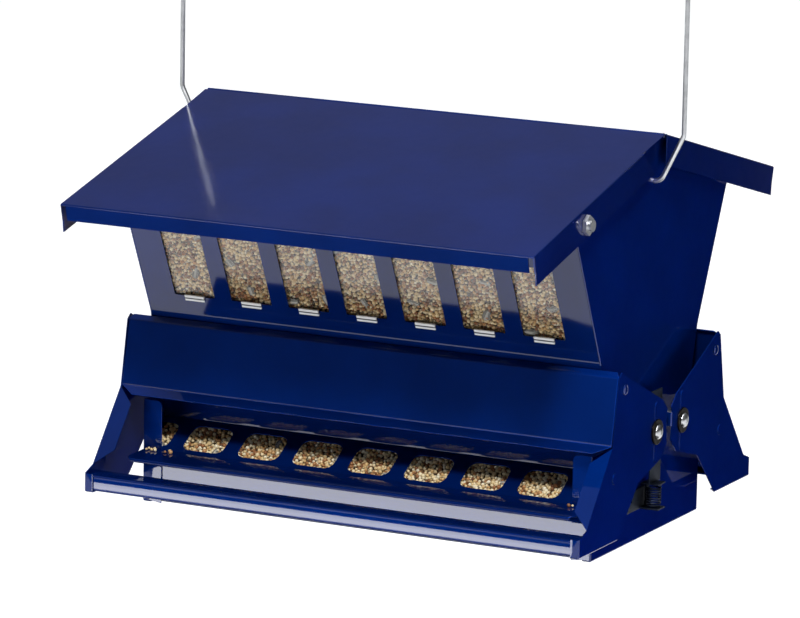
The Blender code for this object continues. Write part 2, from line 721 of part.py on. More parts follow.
def build_tray(name, face, blue):
    """Feeding tray: upstand behind the wall's foot, sloping plate with ports, shelf and lip."""
    half = END_HALF_LENGTH - SHEET - GAP
    tray = folded(name, tray_path(), half, (0, 1, 0), blue, face)

    slope = math.radians(TRAY_SLOPE_DEG)
    origin = 0, face * TRAY_FRONT_DEPTH, TRAY_FRONT_HEIGHT
    frame = origin, (-face, 0, 0), (0, -face * math.cos(slope), math.sin(slope))
    middle = PORT_FOOT + PORT_LENGTH / 2
    port = [(u, v + middle) for u, v in rounded_rectangle(PORT_WIDTH, PORT_LENGTH, PORT_CORNER)]
    places = [(i - (PORT_COUNT + 1) / 2) * PORT_PITCH for i in range(PORT_COUNT + 2)]
    ports = [prism([(u + place, v) for u, v in port], *frame, -OVERRUN, OVERRUN) for place in places]
    shaped(tray, "ports", ports, "DIFFERENCE")

    top = TRAY_FRONT_HEIGHT + OVERRUN
    bottom = TRAY_FRONT_HEIGHT - SHELF_DROP - SHELF_LIP - OVERRUN
    inner, outer = END_HALF_LENGTH - POST_WIDTH - GAP, END_HALF_LENGTH + OVERRUN
    near, far = SHELF_DEPTH - SHELF_CORNER, SHELF_DEPTH + OVERRUN
    corner = [(half - SHELF_CORNER, SHELF_DEPTH + SHEET), (half + SHEET, near), (outer, near),
              (outer, far), (half - SHELF_CORNER, far)]
    low, high = (inner, BASE_HALF_DEPTH - SHEET - GAP, bottom), (outer, BASE_HALF_DEPTH + GAP, top)
    cuts = []
    for side in (LEFT, RIGHT):
        cuts.append(block(low, high, side, face))
        outline = [(side * x, face * depth) for x, depth in corner]
        cuts.append(prism(outline, (0, 0, 0), (1, 0, 0), (0, 1, 0), bottom, top))
    shaped(tray, "corners", cuts, "DIFFERENCE")
    return tray


def build_pan(blue):
    """Floor of the base with its front and rear aprons and drain slots."""
    half = END_HALF_LENGTH - SHEET - GAP
    path = [(-APRON_DEPTH, PAN_LIFT), (APRON_DEPTH, PAN_LIFT)]
    path = [(-APRON_DEPTH, APRON_HEIGHT), *path, (APRON_DEPTH, APRON_HEIGHT)]
    pan = folded("base_pan", path, half, (0, -1, 0), blue)
    slot = rounded_rectangle(DRAIN_LENGTH, DRAIN_WIDTH, DRAIN_WIDTH / 2)
    low, high = PAN_LIFT - OVERRUN, PAN_LIFT + OVERRUN
    slots = []
    for column in range(DRAIN_COLUMNS):
        place = (column - (DRAIN_COLUMNS - 1) / 2) * DRAIN_PITCH
        for face in (FRONT, REAR):
            outline = [(u + place, v + face * DRAIN_DEPTH) for u, v in slot]
            slots.append(prism(outline, (0, 0, 0), (1, 0, 0), (0, 1, 0), low, high))
    shaped(pan, "drains", slots, "DIFFERENCE")
    return pan


def build_divider(blue):
    """Bent ridge on the floor of the base, which sends the seed to both sides."""
    half = END_HALF_LENGTH - SHEET - GAP
    foot = PAN_LIFT + SHEET + GAP + SHEET
    path = [(-DIVIDER_DEPTH, foot), (0, DIVIDER_HEIGHT), (DIVIDER_DEPTH, foot)]
    return folded("seed_divider", path, half, (0, 0, 1), blue)


def build_shield(name, face, blue):
    """Long shield over the ports, with a brow, a flared lip, cut corners and two end tabs."""
    half = ARM_PLANE - SHEET - GAP
    top, brow = (SHIELD_TOP_DEPTH, SHIELD_TOP_HEIGHT), (SHIELD_BROW_DEPTH, SHIELD_BROW_HEIGHT)
    chin = (SHIELD_CHIN_DEPTH, SHIELD_CHIN_HEIGHT)
    lip = (SHIELD_LIP_DEPTH, SHIELD_LIP_HEIGHT)
    tab_head = (SHIELD_BROW_DEPTH - SHIELD_END_TAB, SHIELD_BROW_HEIGHT - SHIELD_TAB_CUT)
    tab_foot = (SHIELD_CHIN_DEPTH - SHIELD_END_TAB, SHIELD_CHIN_HEIGHT + SHIELD_TAB_CUT)
    points = []
    for side in (LEFT, RIGHT):
        points += [(side * (half - SHIELD_TOP_CUT), *top), (side * half, *brow),
                   (side * half, *chin), (side * (half - SHIELD_LIP_CUT), *lip),
                   (side * half, *tab_head), (side * half, *tab_foot)]
    top_l, brow_l, chin_l, lip_l, head_l, foot_l = range(len(points) // 2)
    top_r, brow_r, chin_r, lip_r, head_r, foot_r = range(len(points) // 2, len(points))
    faces = [(brow_l, chin_l, chin_r, brow_r), (top_l, brow_l, brow_r, top_r),
             (chin_l, lip_l, lip_r, chin_r), (brow_r, head_r, foot_r, chin_r),
             (brow_l, head_l, foot_l, chin_l)]
    shield = sheet(name, points, faces, (0, 1, 0), blue, RIGHT, face)
    rivet = SHIELD_RIVET_DEPTH, SHIELD_RIVET_HEIGHT
    bores = [bore(RIVET_RADIUS + GAP, side, face, rivet, half, RIVET_STEPS) for side in (LEFT, RIGHT)]
    shaped(shield, "bores", bores, "DIFFERENCE")
    return shield


def bead_end(up):
    """Outline of the bead above or below the washer, about the pivot."""
    radius = BEAD_WIDTH / 2
    clear = WASHER_RADIUS + GAP
    half = math.asin(radius / clear)
    middle = math.radians(90)
    points = []
    for i in range(CORNER_STEPS + 1):
        turn = math.pi * i / CORNER_STEPS
        points.append((radius * math.cos(turn), up * (BEAD_REACH - radius + radius * math.sin(turn))))
    for i in range(CORNER_STEPS + 1):
        turn = middle + half * (1 - 2 * i / CORNER_STEPS)
        points.append((clear * math.cos(turn), up * clear * math.sin(turn)))
    return points


def build_arm(name, side, face, tab_reach, blue):
    """Arm plate with its folded edges, pivot bore, pressed beads and dimple."""
    x = ARM_PLANE
    outline = [(SHIELD_TOP_DEPTH, SHIELD_TOP_HEIGHT), (SHOULDER_DEPTH, SHOULDER_HEIGHT),
               (TAIL_DEPTH + TAIL_CORNER, TAIL_HEAD_HEIGHT), (TAIL_DEPTH, TAIL_TOP_HEIGHT),
               (TAIL_DEPTH, TAB_TOP_HEIGHT), (TAIL_DEPTH, TAB_FOOT_HEIGHT), (TAIL_DEPTH, TAIL_FOOT_HEIGHT),
               (HEEL_DEPTH, HEEL_HEIGHT), (KNEE_DEPTH, KNEE_HEIGHT), (LEG_DEPTH, ARM_FOOT_HEIGHT),
               (TOE_DEPTH, ARM_FOOT_HEIGHT), (TOE_DEPTH, TOE_HEIGHT), (ANKLE_DEPTH, ANKLE_HEIGHT),
               (CHIN_DEPTH, CHIN_HEIGHT), (BROW_DEPTH, SHIELD_BROW_HEIGHT)]
    count = len(outline)
    tab_top, tab_foot, leg, toe_foot, toe_top, ankle, chin = 4, 5, 9, 10, 11, 12, 13
    points = [(x, depth, height) for depth, height in outline]
    run = Vector(outline[chin]) - Vector(outline[ankle])
    back = run.normalized() * ARM_FLANGE
    foot_x, flange_x = x - ARM_FOOT_FLANGE, x - ARM_FLANGE
    points += [(x - tab_reach, TAIL_DEPTH, TAB_TOP_HEIGHT), (x - tab_reach, TAIL_DEPTH, TAB_FOOT_HEIGHT),
               (foot_x, LEG_DEPTH + ARM_FOOT_FLANGE, ARM_FOOT_HEIGHT), (foot_x, TOE_DEPTH, ARM_FOOT_HEIGHT),
               (foot_x, TOE_DEPTH, TOE_HEIGHT),
               (flange_x, *(Vector(outline[ankle]) + back)), (flange_x, *(Vector(outline[chin]) - back))]
    in_top, in_foot, in_leg, in_toe, in_toe_top, flange_foot, flange_top = range(count, len(points))
    faces = [tuple(range(count)), (tab_top, tab_foot, in_foot, in_top), (leg, toe_foot, in_toe, in_leg),
             (toe_foot, toe_top, in_toe_top, in_toe), (ankle, chin, flange_top, flange_foot)]
    arm = sheet(name, points, faces, (1, 0, 0), blue, side, face)

    pivot, low, high = (PIVOT_DEPTH, PIVOT_HEIGHT), x - SHEET / 2, x + BEAD_RISE
    pads = [end_prism(bead_end(up), side, face, pivot, low, high) for up in (1, -1)]
    pads.append(end_prism(circle(DIMPLE_RADIUS), side, face, (DIMPLE_DEPTH, DIMPLE_HEIGHT), low, high))
    shaped(arm, "beads", pads, "UNION")
    rivet = SHIELD_RIVET_DEPTH, SHIELD_RIVET_HEIGHT
    bores = [bore(STUD_RADIUS + STUD_CLEARANCE, side, face, pivot, x),
             bore(RIVET_RADIUS + GAP, side, face, rivet, x, RIVET_STEPS)]
    shaped(arm, "bores", bores, "DIFFERENCE")
    return arm


def build_perch_bar(name, face, blue):
    """Channel that the bird stands on, open toward the feeder."""
    half = ARM_PLANE - SHEET - GAP
    low = ARM_FOOT_HEIGHT + SHEET + GAP
    high = low + PERCH_HEIGHT
    front = TOE_DEPTH - SHEET - GAP
    back = front - PERCH_DEPTH
    path = [(front, high), (front, low), (back, low)]
    path = [(back, high - PERCH_REAR_FLANGE), (back, high), *path]
    return folded(name, path, half, (0, -1, 0), blue, face)


def build_pivot(name, side, face, steel, bronze):
    """Stud with its two heads, spacer sleeve and washer, from the end plate out through the arm."""
    centre = (face * PIVOT_DEPTH, PIVOT_HEIGHT)
    shop = END_HALF_LENGTH - SHEET - GAP
    washer = ARM_PLANE + GAP
    head = washer + WASHER_THICKNESS + GAP
    dome = [(head + HEAD_HEIGHT * math.sin(turn), HEAD_RADIUS * math.cos(turn))
            for turn in [math.radians(90) * i / DOME_STEPS for i in range(DOME_STEPS)]]
    profile = [(shop - SHOP_HEAD_HEIGHT, 0), (shop - SHOP_HEAD_HEIGHT, SHOP_HEAD_RADIUS),
               (shop, SHOP_HEAD_RADIUS), (shop, STUD_RADIUS), (head, STUD_RADIUS), *dome,
               (head + HEAD_HEIGHT, 0)]
    stud = turned("pivot_stud_" + name, profile, centre, side, steel)
    hole = STUD_RADIUS + STUD_CLEARANCE
    start, stop = END_HALF_LENGTH + GAP, ARM_PLANE - SHEET - GAP
    profile = [(start, hole), (start, SPACER_RADIUS), (stop, SPACER_RADIUS), (stop, hole)]
    spacer = turned("pivot_spacer_" + name, profile, centre, side, steel)
    outer = washer + WASHER_THICKNESS
    profile = [(washer, hole), (washer, WASHER_RADIUS), (outer, WASHER_RADIUS), (outer, hole)]
    return stud, spacer, turned("pivot_washer_" + name, profile, centre, side, bronze)


def build_arm_rivet(name, side, face, steel):
    """Rivet that joins an arm to the shield's end tab."""
    outer = ARM_PLANE + GAP
    inner = ARM_PLANE - 2 * (SHEET + GAP) - GAP
    profile = [(inner - RIVET_HEAD_HEIGHT, 0), (inner - RIVET_HEAD_HEIGHT, RIVET_HEAD_RADIUS),
               (inner, RIVET_HEAD_RADIUS), (inner, RIVET_RADIUS),
               (outer, RIVET_RADIUS), (outer, RIVET_HEAD_RADIUS),
               (outer + RIVET_HEAD_HEIGHT / 2, RIVET_HEAD_RADIUS),
               (outer + RIVET_HEAD_HEIGHT, RIVET_HEAD_RADIUS / 2), (outer + RIVET_HEAD_HEIGHT, 0)]
    return turned(name, profile, (face * SHIELD_RIVET_DEPTH, SHIELD_RIVET_HEIGHT), side, steel, RIVET_STEPS)


def build_strap(name, side, face, steel):
    """Lift strap with a window for the arm's drive tab and a seat for the spring at its foot."""
    inner, outer = STRAP_PLANE, STRAP_PLANE + STRAP_THICKNESS
    near, far = STRAP_MIDDLE - STRAP_WIDTH / 2, STRAP_MIDDLE + STRAP_WIDTH / 2
    blade = block((inner, near, STRAP_FOOT + STRAP_THICKNESS / 2), (outer, far, STRAP_TOP), side, face)
    strap = solid(name, blade, steel)
    seat = block((inner - SEAT_REACH, SPRING_DEPTH - SEAT_REACH, STRAP_FOOT),
                 (outer + SEAT_REACH, SPRING_DEPTH + SEAT_REACH, STRAP_FOOT + STRAP_THICKNESS), side, face)
    shaped(strap, "seat", [seat], "UNION")
    window = block((inner - OVERRUN, STRAP_WINDOW_NEAR, TAB_FOOT_HEIGHT - STRAP_LOST_MOTION),
                   (outer + OVERRUN, STRAP_WINDOW_FAR, TAB_TOP_HEIGHT + STRAP_PLAY), side, face)
    shaped(strap, "window", [window], "DIFFERENCE")
    return strap


def spring_route():
    """Centre line of a spring: straight end, helix, straight end, between its two seats."""
    x = STRAP_PLANE + STRAP_THICKNESS / 2
    low, high = ANCHOR_HEIGHT + ANCHOR_THICKNESS + GAP, STRAP_FOOT - GAP
    lead = 2 * SPRING_WIRE
    count = SPRING_TURNS * SPRING_STEPS
    route = [(x + SPRING_RADIUS, SPRING_DEPTH, low)]
    for i in range(count + 1):
        turn = math.tau * i / SPRING_STEPS
        height = low + lead + (high - low - 2 * lead) * i / count
        route.append((x + SPRING_RADIUS * math.cos(turn),
                      SPRING_DEPTH + SPRING_RADIUS * math.sin(turn), height))
    route.append((x + SPRING_RADIUS, SPRING_DEPTH, high))
    return route


def self_gap(route, radius, apart):
    """Least gap between parts of a wire that are more than `apart` points from each other."""
    tree = KDTree(len(route))
    for i, place in enumerate(route):
        tree.insert(place, i)
    tree.balance()
    near = [distance for i, place in enumerate(route)
            for _, j, distance in tree.find_range(place, SPRING_RADIUS) if abs(i - j) > apart]
    return min(near) - 2 * radius


def build_spring(name, side, face, steel):
    """Coil spring that holds a perch up."""
    route = spring_route()
    print(name, "least self gap in mm:", round(self_gap(route, SPRING_WIRE, SPRING_STEPS // 2) / MM, 3))
    places = [(x * side, depth * face, height) for x, depth, height in route]
    return wire(name, places, SPRING_WIRE, 1, steel)


def build_anchor(name, side, face, steel):
    """Angle on the end plate: a seat under the spring and a plate with setting notches."""
    x = END_HALF_LENGTH + GAP
    near = SPRING_DEPTH - SEAT_REACH
    plate = block((x, near - ANCHOR_BORDER, ANCHOR_HEIGHT + ANCHOR_THICKNESS / 2),
                  (x + ANCHOR_THICKNESS, ANCHOR_REACH, ANCHOR_PLATE_TOP), side, face)
    anchor = solid(name, plate, steel)
    corner = (STRAP_PLANE + STRAP_THICKNESS + SEAT_REACH, SPRING_DEPTH + SEAT_REACH,
              ANCHOR_HEIGHT + ANCHOR_THICKNESS)
    seat = block((x + ANCHOR_THICKNESS / 2, near, ANCHOR_HEIGHT), corner, side, face)
    shaped(anchor, "seat", [seat], "UNION")
    notches = []
    for i in range(NOTCH_COUNT):
        start = ANCHOR_REACH - NOTCH_PITCH * (i + 1)
        notches.append(block((x - OVERRUN, start, ANCHOR_PLATE_TOP - NOTCH_LENGTH),
                             (x + OVERRUN, start + NOTCH_WIDTH, ANCHOR_PLATE_TOP + OVERRUN), side, face))
    shaped(anchor, "notches", notches, "DIFFERENCE")
    return anchor


def build_bail(zinc):
    """One wire: hooked ends in the end plates, two legs, two sloping runs and an open eye."""
    corners = [(BAIL_HOOK_PLANE, BAIL_HEIGHT - BAIL_HOOK), (BAIL_HOOK_PLANE, BAIL_HEIGHT),
               (BAIL_KNEE, BAIL_HEIGHT), (BAIL_LEG, BAIL_BEND_HEIGHT),
               (BAIL_LEG, BAIL_SHOULDER_HEIGHT), (BAIL_NECK_HALF_WIDTH, BAIL_NECK_HEIGHT)]
    opening = math.asin(BAIL_NECK_HALF_WIDTH / BAIL_EYE_RADIUS)
    eye_height = BAIL_NECK_HEIGHT + BAIL_EYE_RADIUS * math.cos(opening)
    radii = [BAIL_HOOK_RADIUS] + [BAIL_BEND_RADIUS] * (len(corners) - 3)
    leg = rounded_route([(x, 0, height) for x, height in corners], radii)
    sweep = math.tau - 2 * opening
    eye = []
    for i in range(1, BAIL_EYE_STEPS):
        turn = opening + sweep * i / BAIL_EYE_STEPS
        across, down = BAIL_EYE_RADIUS * math.sin(turn), BAIL_EYE_RADIUS * math.cos(turn)
        eye.append(Vector((across, 0, eye_height - down)))
    other = [Vector((-place.x, 0, place.z)) for place in reversed(leg)]
    return wire("hanger_bail", leg + eye + other, BAIL_WIRE, 2, zinc)


def main():
    """Build every piece of the feeder and hang the moving ones on their axes."""
    for old in list(bpy.data.objects):
        bpy.data.objects.remove(old)

    blue = material("blue_enamel", BLUE, 0.25, 0.0)
    zinc = material("zinc_steel", ZINC, 0.35, 1.0)
    bronze = material("dark_bronze", BRONZE, 0.4, 1.0)
    clear = material("clear_plastic", CLEAR, 0.1, 0.0, CLEAR_ALPHA)

    for end, side in SIDES.items():
        build_end_plate("end_plate_" + end, side, blue)
    for where, face in FACES.items():
        build_wall(where + "_hopper_wall", face, blue)
        build_pane(where + "_window_pane", face, clear)
        build_tray(where + "_tray", face, blue)
    build_pan(blue)
    build_divider(blue)
    build_roof_panel("rear_roof", REAR, hinge_spans()[1], REAR_NOTCH_TOP, REAR_NOTCH_FOOT, blue)
    build_rod(zinc)

    lid = [build_lid(blue)] + [build_catch("lid_catch_" + end, side, zinc) for end, side in SIDES.items()]
    on_axis("axis_lid", (0, *hinge_axis()), lid)
    on_axis("axis_bail", (0, 0, BAIL_HEIGHT), [build_bail(zinc)])

    drives = {"front": "right", "rear": "left"}
    for where, face in FACES.items():
        moving = [build_shield(where + "_shield", face, blue),
                  build_perch_bar(where + "_perch_bar", face, blue)]
        for end, side in SIDES.items():
            corner = where + "_" + end
            reach = DRIVE_TAB if drives[where] == end else IDLE_TAB
            moving.append(build_arm("arm_" + corner, side, face, reach, blue))
            moving.append(build_arm_rivet("arm_rivet_" + corner, side, face, zinc))
            build_pivot(corner, side, face, zinc, bronze)
        on_axis("axis_" + where + "_perch", (0, face * PIVOT_DEPTH, PIVOT_HEIGHT), moving)
        end, side = drives[where], SIDES[drives[where]]
        strap = build_strap("lift_strap_" + end, side, face, zinc)
        on_axis("axis_lift_strap_" + end, (side * STRAP_PLANE, face * STRAP_MIDDLE, STRAP_FOOT), [strap])
        build_spring("spring_" + end, side, face, zinc)
        build_anchor("spring_anchor_" + end, side, face, zinc)


if __name__ == "__main__":
    main()
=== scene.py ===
"""Looks of a two-sided squirrel proof bird feeder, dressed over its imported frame.

Lengths are metres in the frame's own axes: +Z up, +X along the ridge to the right end, -Y the front.
In a quarter of the feeder a place is (x, d, z), where d is the distance outward from the middle
plane; `face` is -1 for the front and +1 for the rear.
"""
import json
import math

import bmesh
import bpy
from bpy.props import FloatProperty, FloatVectorProperty, IntProperty, PointerProperty
from mathutils import Matrix, Vector

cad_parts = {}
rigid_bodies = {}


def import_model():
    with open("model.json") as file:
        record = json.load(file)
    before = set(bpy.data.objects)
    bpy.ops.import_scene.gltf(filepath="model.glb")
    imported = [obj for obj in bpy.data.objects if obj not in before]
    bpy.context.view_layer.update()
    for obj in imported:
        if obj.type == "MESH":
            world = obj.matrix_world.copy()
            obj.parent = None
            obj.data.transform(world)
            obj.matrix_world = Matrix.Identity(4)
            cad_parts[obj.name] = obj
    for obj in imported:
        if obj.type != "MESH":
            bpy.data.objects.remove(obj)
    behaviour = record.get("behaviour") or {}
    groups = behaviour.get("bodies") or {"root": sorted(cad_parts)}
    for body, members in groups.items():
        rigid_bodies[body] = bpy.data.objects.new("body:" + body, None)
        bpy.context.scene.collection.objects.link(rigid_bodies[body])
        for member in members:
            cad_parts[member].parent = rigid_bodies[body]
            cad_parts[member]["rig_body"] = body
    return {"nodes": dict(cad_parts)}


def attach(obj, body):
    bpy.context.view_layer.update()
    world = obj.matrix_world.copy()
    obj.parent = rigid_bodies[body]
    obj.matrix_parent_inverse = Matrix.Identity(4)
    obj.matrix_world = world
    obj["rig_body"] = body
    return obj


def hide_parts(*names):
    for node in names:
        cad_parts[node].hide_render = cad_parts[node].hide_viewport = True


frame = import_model()
bpy.context.view_layer.update()

bl_info = {
    "name": "Squirrel proof bird feeder",
    "version": (1, 0, 0),
    "blender": (4, 5, 0),
    "location": "3D View > Sidebar > Feeder",
    "description": "Dresses a packed bird feeder with painted sheet, plated fittings, panes and seed",
    "category": "Object",
}

MM = 0.001
FACES = {"front": -1, "rear": 1}
CORNERS = ((-1, -1), (1, -1), (1, 1), (-1, 1))

# Sizes of the frame that the seed and the finishes keep to
WALL_LEDGE_HEIGHT = 170 * MM
WALL_LEDGE_DEPTH = 100.7 * MM
WALL_LEAN = math.radians(25.4)
WINDOW_PITCH = 56 * MM
# Register the add-on's classes and make every piece.
WINDOW_COUNT = 7
WINDOW_WIDTH = 39.5 * MM
WINDOW_FOOT_HEIGHT = 188 * MM
WINDOW_HEIGHT = 66 * MM
# Height on the tabs of the dark line between the two painted glints
TAB_SEAM = 18.4 * MM
TRAY_FRONT_DEPTH = 111.2 * MM
TRAY_FRONT_HEIGHT = 47.6 * MM
TRAY_SLOPE = math.radians(30)
PORT_PITCH = 54 * MM
PORT_COUNT = 9
PORT_WIDTH = 40 * MM
PORT_LENGTH = 31.7 * MM
PORT_FOOT = 4.8 * MM
SHELF_DROP = 1.6 * MM
SHELF_LENGTH = 34.8 * MM

# Dressing a node: points this near are merged, faces this flat are joined, edges this sharp are kept,
# and a face this narrow that looks away from X is a cut edge
WELD = 0.002 * MM
FLAT_ANGLE = math.radians(0.6)
SHARP_ANGLE = math.radians(50)
CUT_EDGE_WIDTH = 1.15 * MM
CUT_EDGE_TURN = 0.3
BEVEL_SEGMENTS = 2
RIVET_ROUNDING = 0.3 * MM
WASHER_ROUNDING = 0.2 * MM
FITTING_ROUNDING = 0.15 * MM

# Enamels: shares of the colour in the clouding, lifts of the other copies and the roof's duller film
CLOUDING = (0.86, 1.12)
# The roof's copy of the enamel is darker and duller
ROOF_LIFT = -0.18
# The hopper walls' copy is darker: painted shade under the eave
WALL_SHADE_LIFT = -0.3
# The edges' copy is lighter: a painted highlight on cut and rounded edges
RIM_HIGHLIGHT_LIFT = 0.9
ROOF_FILM = 4.0

# Plating and panes: the drawn grain's scale, roughness, and the panes' mirroring share and tint
ZINC_GRAIN = 300.0
BRONZE_GRAIN = 240.0
GREY_ROUGHNESS = 0.42
BRONZE_ROUGHNESS = 0.34
PANE_SHARE = 0.055
PANE_TINT = (0.93, 0.94, 0.96)

# Packed seed: the heap's top as (depth, share of the mound, share of the waves), the waves as
# (rise, rate, start), how deep the seed lies behind panes and sheets, and its (depth, height) in the base
SEED_STEPS = 28
SEED_HALF_LENGTH = 212.6 * MM
HEAP_TOP = ((0.0, 1.0, 1.0), (50 * MM, 0.8, 1.0), (95 * MM, 0.35, 0.6))
HEAP_WAVES = ((1.6 * MM, 37.0, 0.0), (1.1 * MM, 83.0, 1.3))
PANE_SEED_FOOT = 18 * MM
PANE_SEED_RECESS = 5.4 * MM
SHEET_SEED_FOOT = 2 * MM
SHEET_SEED_RECESS = 3.6 * MM
BASE_SEED_SHOULDER = ((74.0 * MM, 80.5 * MM), (71.2 * MM, 69.5 * MM), (71.2 * MM, 66.6 * MM))
TRAY_SEED_ENDS = (40.0 * MM, 1.5 * MM)
BASE_SEED_FOOT = ((108.2 * MM, 3.2 * MM), (69.0 * MM, 3.2 * MM), (66.0 * MM, 5.5 * MM), (0.0, 52.5 * MM))

# Loose seed: how far its layers reach past the openings and lie inside them, and the patches of spilt
# seed on the shelf, at the feet of the end plates' posts, as (x, up, width, height, out)
WINDOW_SEED_BORDER = 4 * MM
WINDOW_SEED_RECESS = 4.4 * MM
PORT_SEED_HALF_LENGTH = 212 * MM
PORT_SEED_SIDE = 2 * MM
PORT_SEED_END = 3 * MM
PORT_SEED_RECESS = 2.9 * MM
HEAP_HALF_LENGTH = 209 * MM
HEAP_LIFT = 0.4 * MM
SPILT_LIFT = 1.3 * MM
SPILT_SEED = (
    (-206 * MM, 4.4 * MM, 9 * MM, 4 * MM, SPILT_LIFT), (-189 * MM, 4.6 * MM, 6 * MM, 8 * MM, SPILT_LIFT),
    (200 * MM, 5.0 * MM, 4 * MM, 3 * MM, SPILT_LIFT), (209 * MM, 3.8 * MM, 5 * MM, 4 * MM, SPILT_LIFT),
)

# Grains: length, width, thickness, rings, points around and bluntness, then how many a square metre
# may hold, and the husks' colours
GRAIN_FORMS = {
    "millet": (3.2 * MM, 3.0 * MM, 2.8 * MM, 4, 7, 1.0),
    "milo": (4.1 * MM, 3.8 * MM, 3.4 * MM, 4, 7, 0.95),
    "coarse": (4.0 * MM, 3.6 * MM, 3.1 * MM, 3, 6, 0.95),
    "sunflower": (14.0 * MM, 7.0 * MM, 4.0 * MM, 6, 10, 0.72),
}
MIXED_DENSITY = 900000.0
COARSE_DENSITY = 300000.0
SUNFLOWER_DENSITY = 60000.0
GRAIN_STOPS = (
    (0.0, (0.22, 0.09, 0.035)), (0.13, (0.38, 0.16, 0.06)), (0.22, (0.56, 0.29, 0.12)),
    (0.32, (0.72, 0.48, 0.21)), (0.52, (0.84, 0.65, 0.35)), (0.76, (0.92, 0.78, 0.50)),
    (1.0, (0.95, 0.88, 0.67)),
)

# Camera: its turn, lift and roll, where it aims, and its sensor's width
CAMERA_TURN = math.radians(26.58)
CAMERA_LIFT = math.radians(11.507)
CAMERA_ROLL = math.radians(1.054)
AIM_HEIGHT = 165 * MM
AIM_SIDE = 20.54 * MM
AIM_RISE = 10.88 * MM
SENSOR_WIDTH = 36.0
FAR_CLIP = 100.0

# Room: its tint, the heights where its lights rise, the heading and edge of the pale backdrop, and the
# size and glow of the floor
ROOM_TINT = (0.96, 0.98, 1.0)
ZENITH_RISE = (0.90, 0.985)
SKY_RISE = (0.3, 0.6)
BACKDROP_HEADING = (-0.44, 0.87, 0.2)
BACKDROP_REACH = (0.92, 0.98)
FLOOR_REACH = 12.0
FLOOR_GLOW = (0.42, 0.42, 0.42)

# Lamps: name, place, aim, size and power
LAMPS = (
    ("low_front_box", (-0.50, -1.15, -0.262), (-0.50, -0.15, 0.004), (0.60, 0.080), 1.35),
    ("key_box", (0.62, -1.25, 1.53), (0, -0.1, 0.06), (0.34, 0.28), 35.0),
)

# Black cards: one upright behind the right end, and cloths on the floor with name, centre and size
END_CARD_HEADING = Vector((0.894, -0.447, 0))
END_CARD_CENTRE = (0.665, 0.876, -0.03)
END_CARD_SIZE = (0.44, 0.60)
CLOTH_LIFT = 4 * MM
CLOTHS = (
    ("under_cloth", (0.135, -0.05), (1.33, 0.794)),
    ("eave_cloth", (-0.40, -1.05), (1.40, 0.92)),
    ("post_cloth", (-1.02, -2.12), (1.10, 0.60)),
)

PAINTED = (
    "end_plate_left", "end_plate_right", "front_hopper_wall", "rear_hopper_wall",
    "front_tray", "rear_tray", "base_pan", "seed_divider", "rear_roof", "roof_lid",
    "front_shield", "rear_shield", "front_perch_bar", "rear_perch_bar",
    "arm_front_left", "arm_front_right", "arm_rear_left", "arm_rear_right",
)
PLATED = (
    "ridge_hinge_rod", "lid_catch_left", "lid_catch_right",
    "pivot_stud_front_left", "pivot_stud_front_right", "pivot_stud_rear_left",
    "pivot_stud_rear_right", "pivot_spacer_front_left", "pivot_spacer_front_right",
    "pivot_spacer_rear_left", "pivot_spacer_rear_right", "lift_strap_left", "lift_strap_right",
    "spring_anchor_left", "spring_anchor_right",
)
RIVETS = ("arm_rivet_front_left", "arm_rivet_front_right", "arm_rivet_rear_left", "arm_rivet_rear_right")
WIRES = ("hanger_bail", "spring_left", "spring_right")
WASHERS = (
    "pivot_washer_front_left", "pivot_washer_front_right",
    "pivot_washer_rear_left", "pivot_washer_rear_right",
)
PANES = ("front_window_pane", "rear_window_pane")


class Term:
    """One value in a finish's nodes, which takes part in plain arithmetic."""

    def __init__(self, tree, socket):
        self.tree = tree
        self.socket = socket

    def math(self, operation, *values):
        return self.tree.node("ShaderNodeMath", {"operation": operation}, dict(enumerate(values)))

    def __add__(self, other):
        return self.math("ADD", self, other)

    def __radd__(self, other):
        return self.math("ADD", other, self)

    def __sub__(self, other):
        return self.math("SUBTRACT", self, other)

    def __rsub__(self, other):
        return self.math("SUBTRACT", other, self)

    def __mul__(self, other):
        return self.math("MULTIPLY", self, other)

    def __rmul__(self, other):
        return self.math("MULTIPLY", other, self)

    def __truediv__(self, other):
        return self.math("DIVIDE", self, other)

    def __abs__(self):
        return self.math("ABSOLUTE", self)

    def clamped(self, low, high):
        return self.math("MINIMUM", self.math("MAXIMUM", self, low), high)

    def ramp(self, start, stop):
        """0 below start, 1 above stop, smooth between."""
        settings = {"interpolation_type": "SMOOTHSTEP"}
        return self.tree.node("ShaderNodeMapRange", settings, {0: self, 1: start, 2: stop})


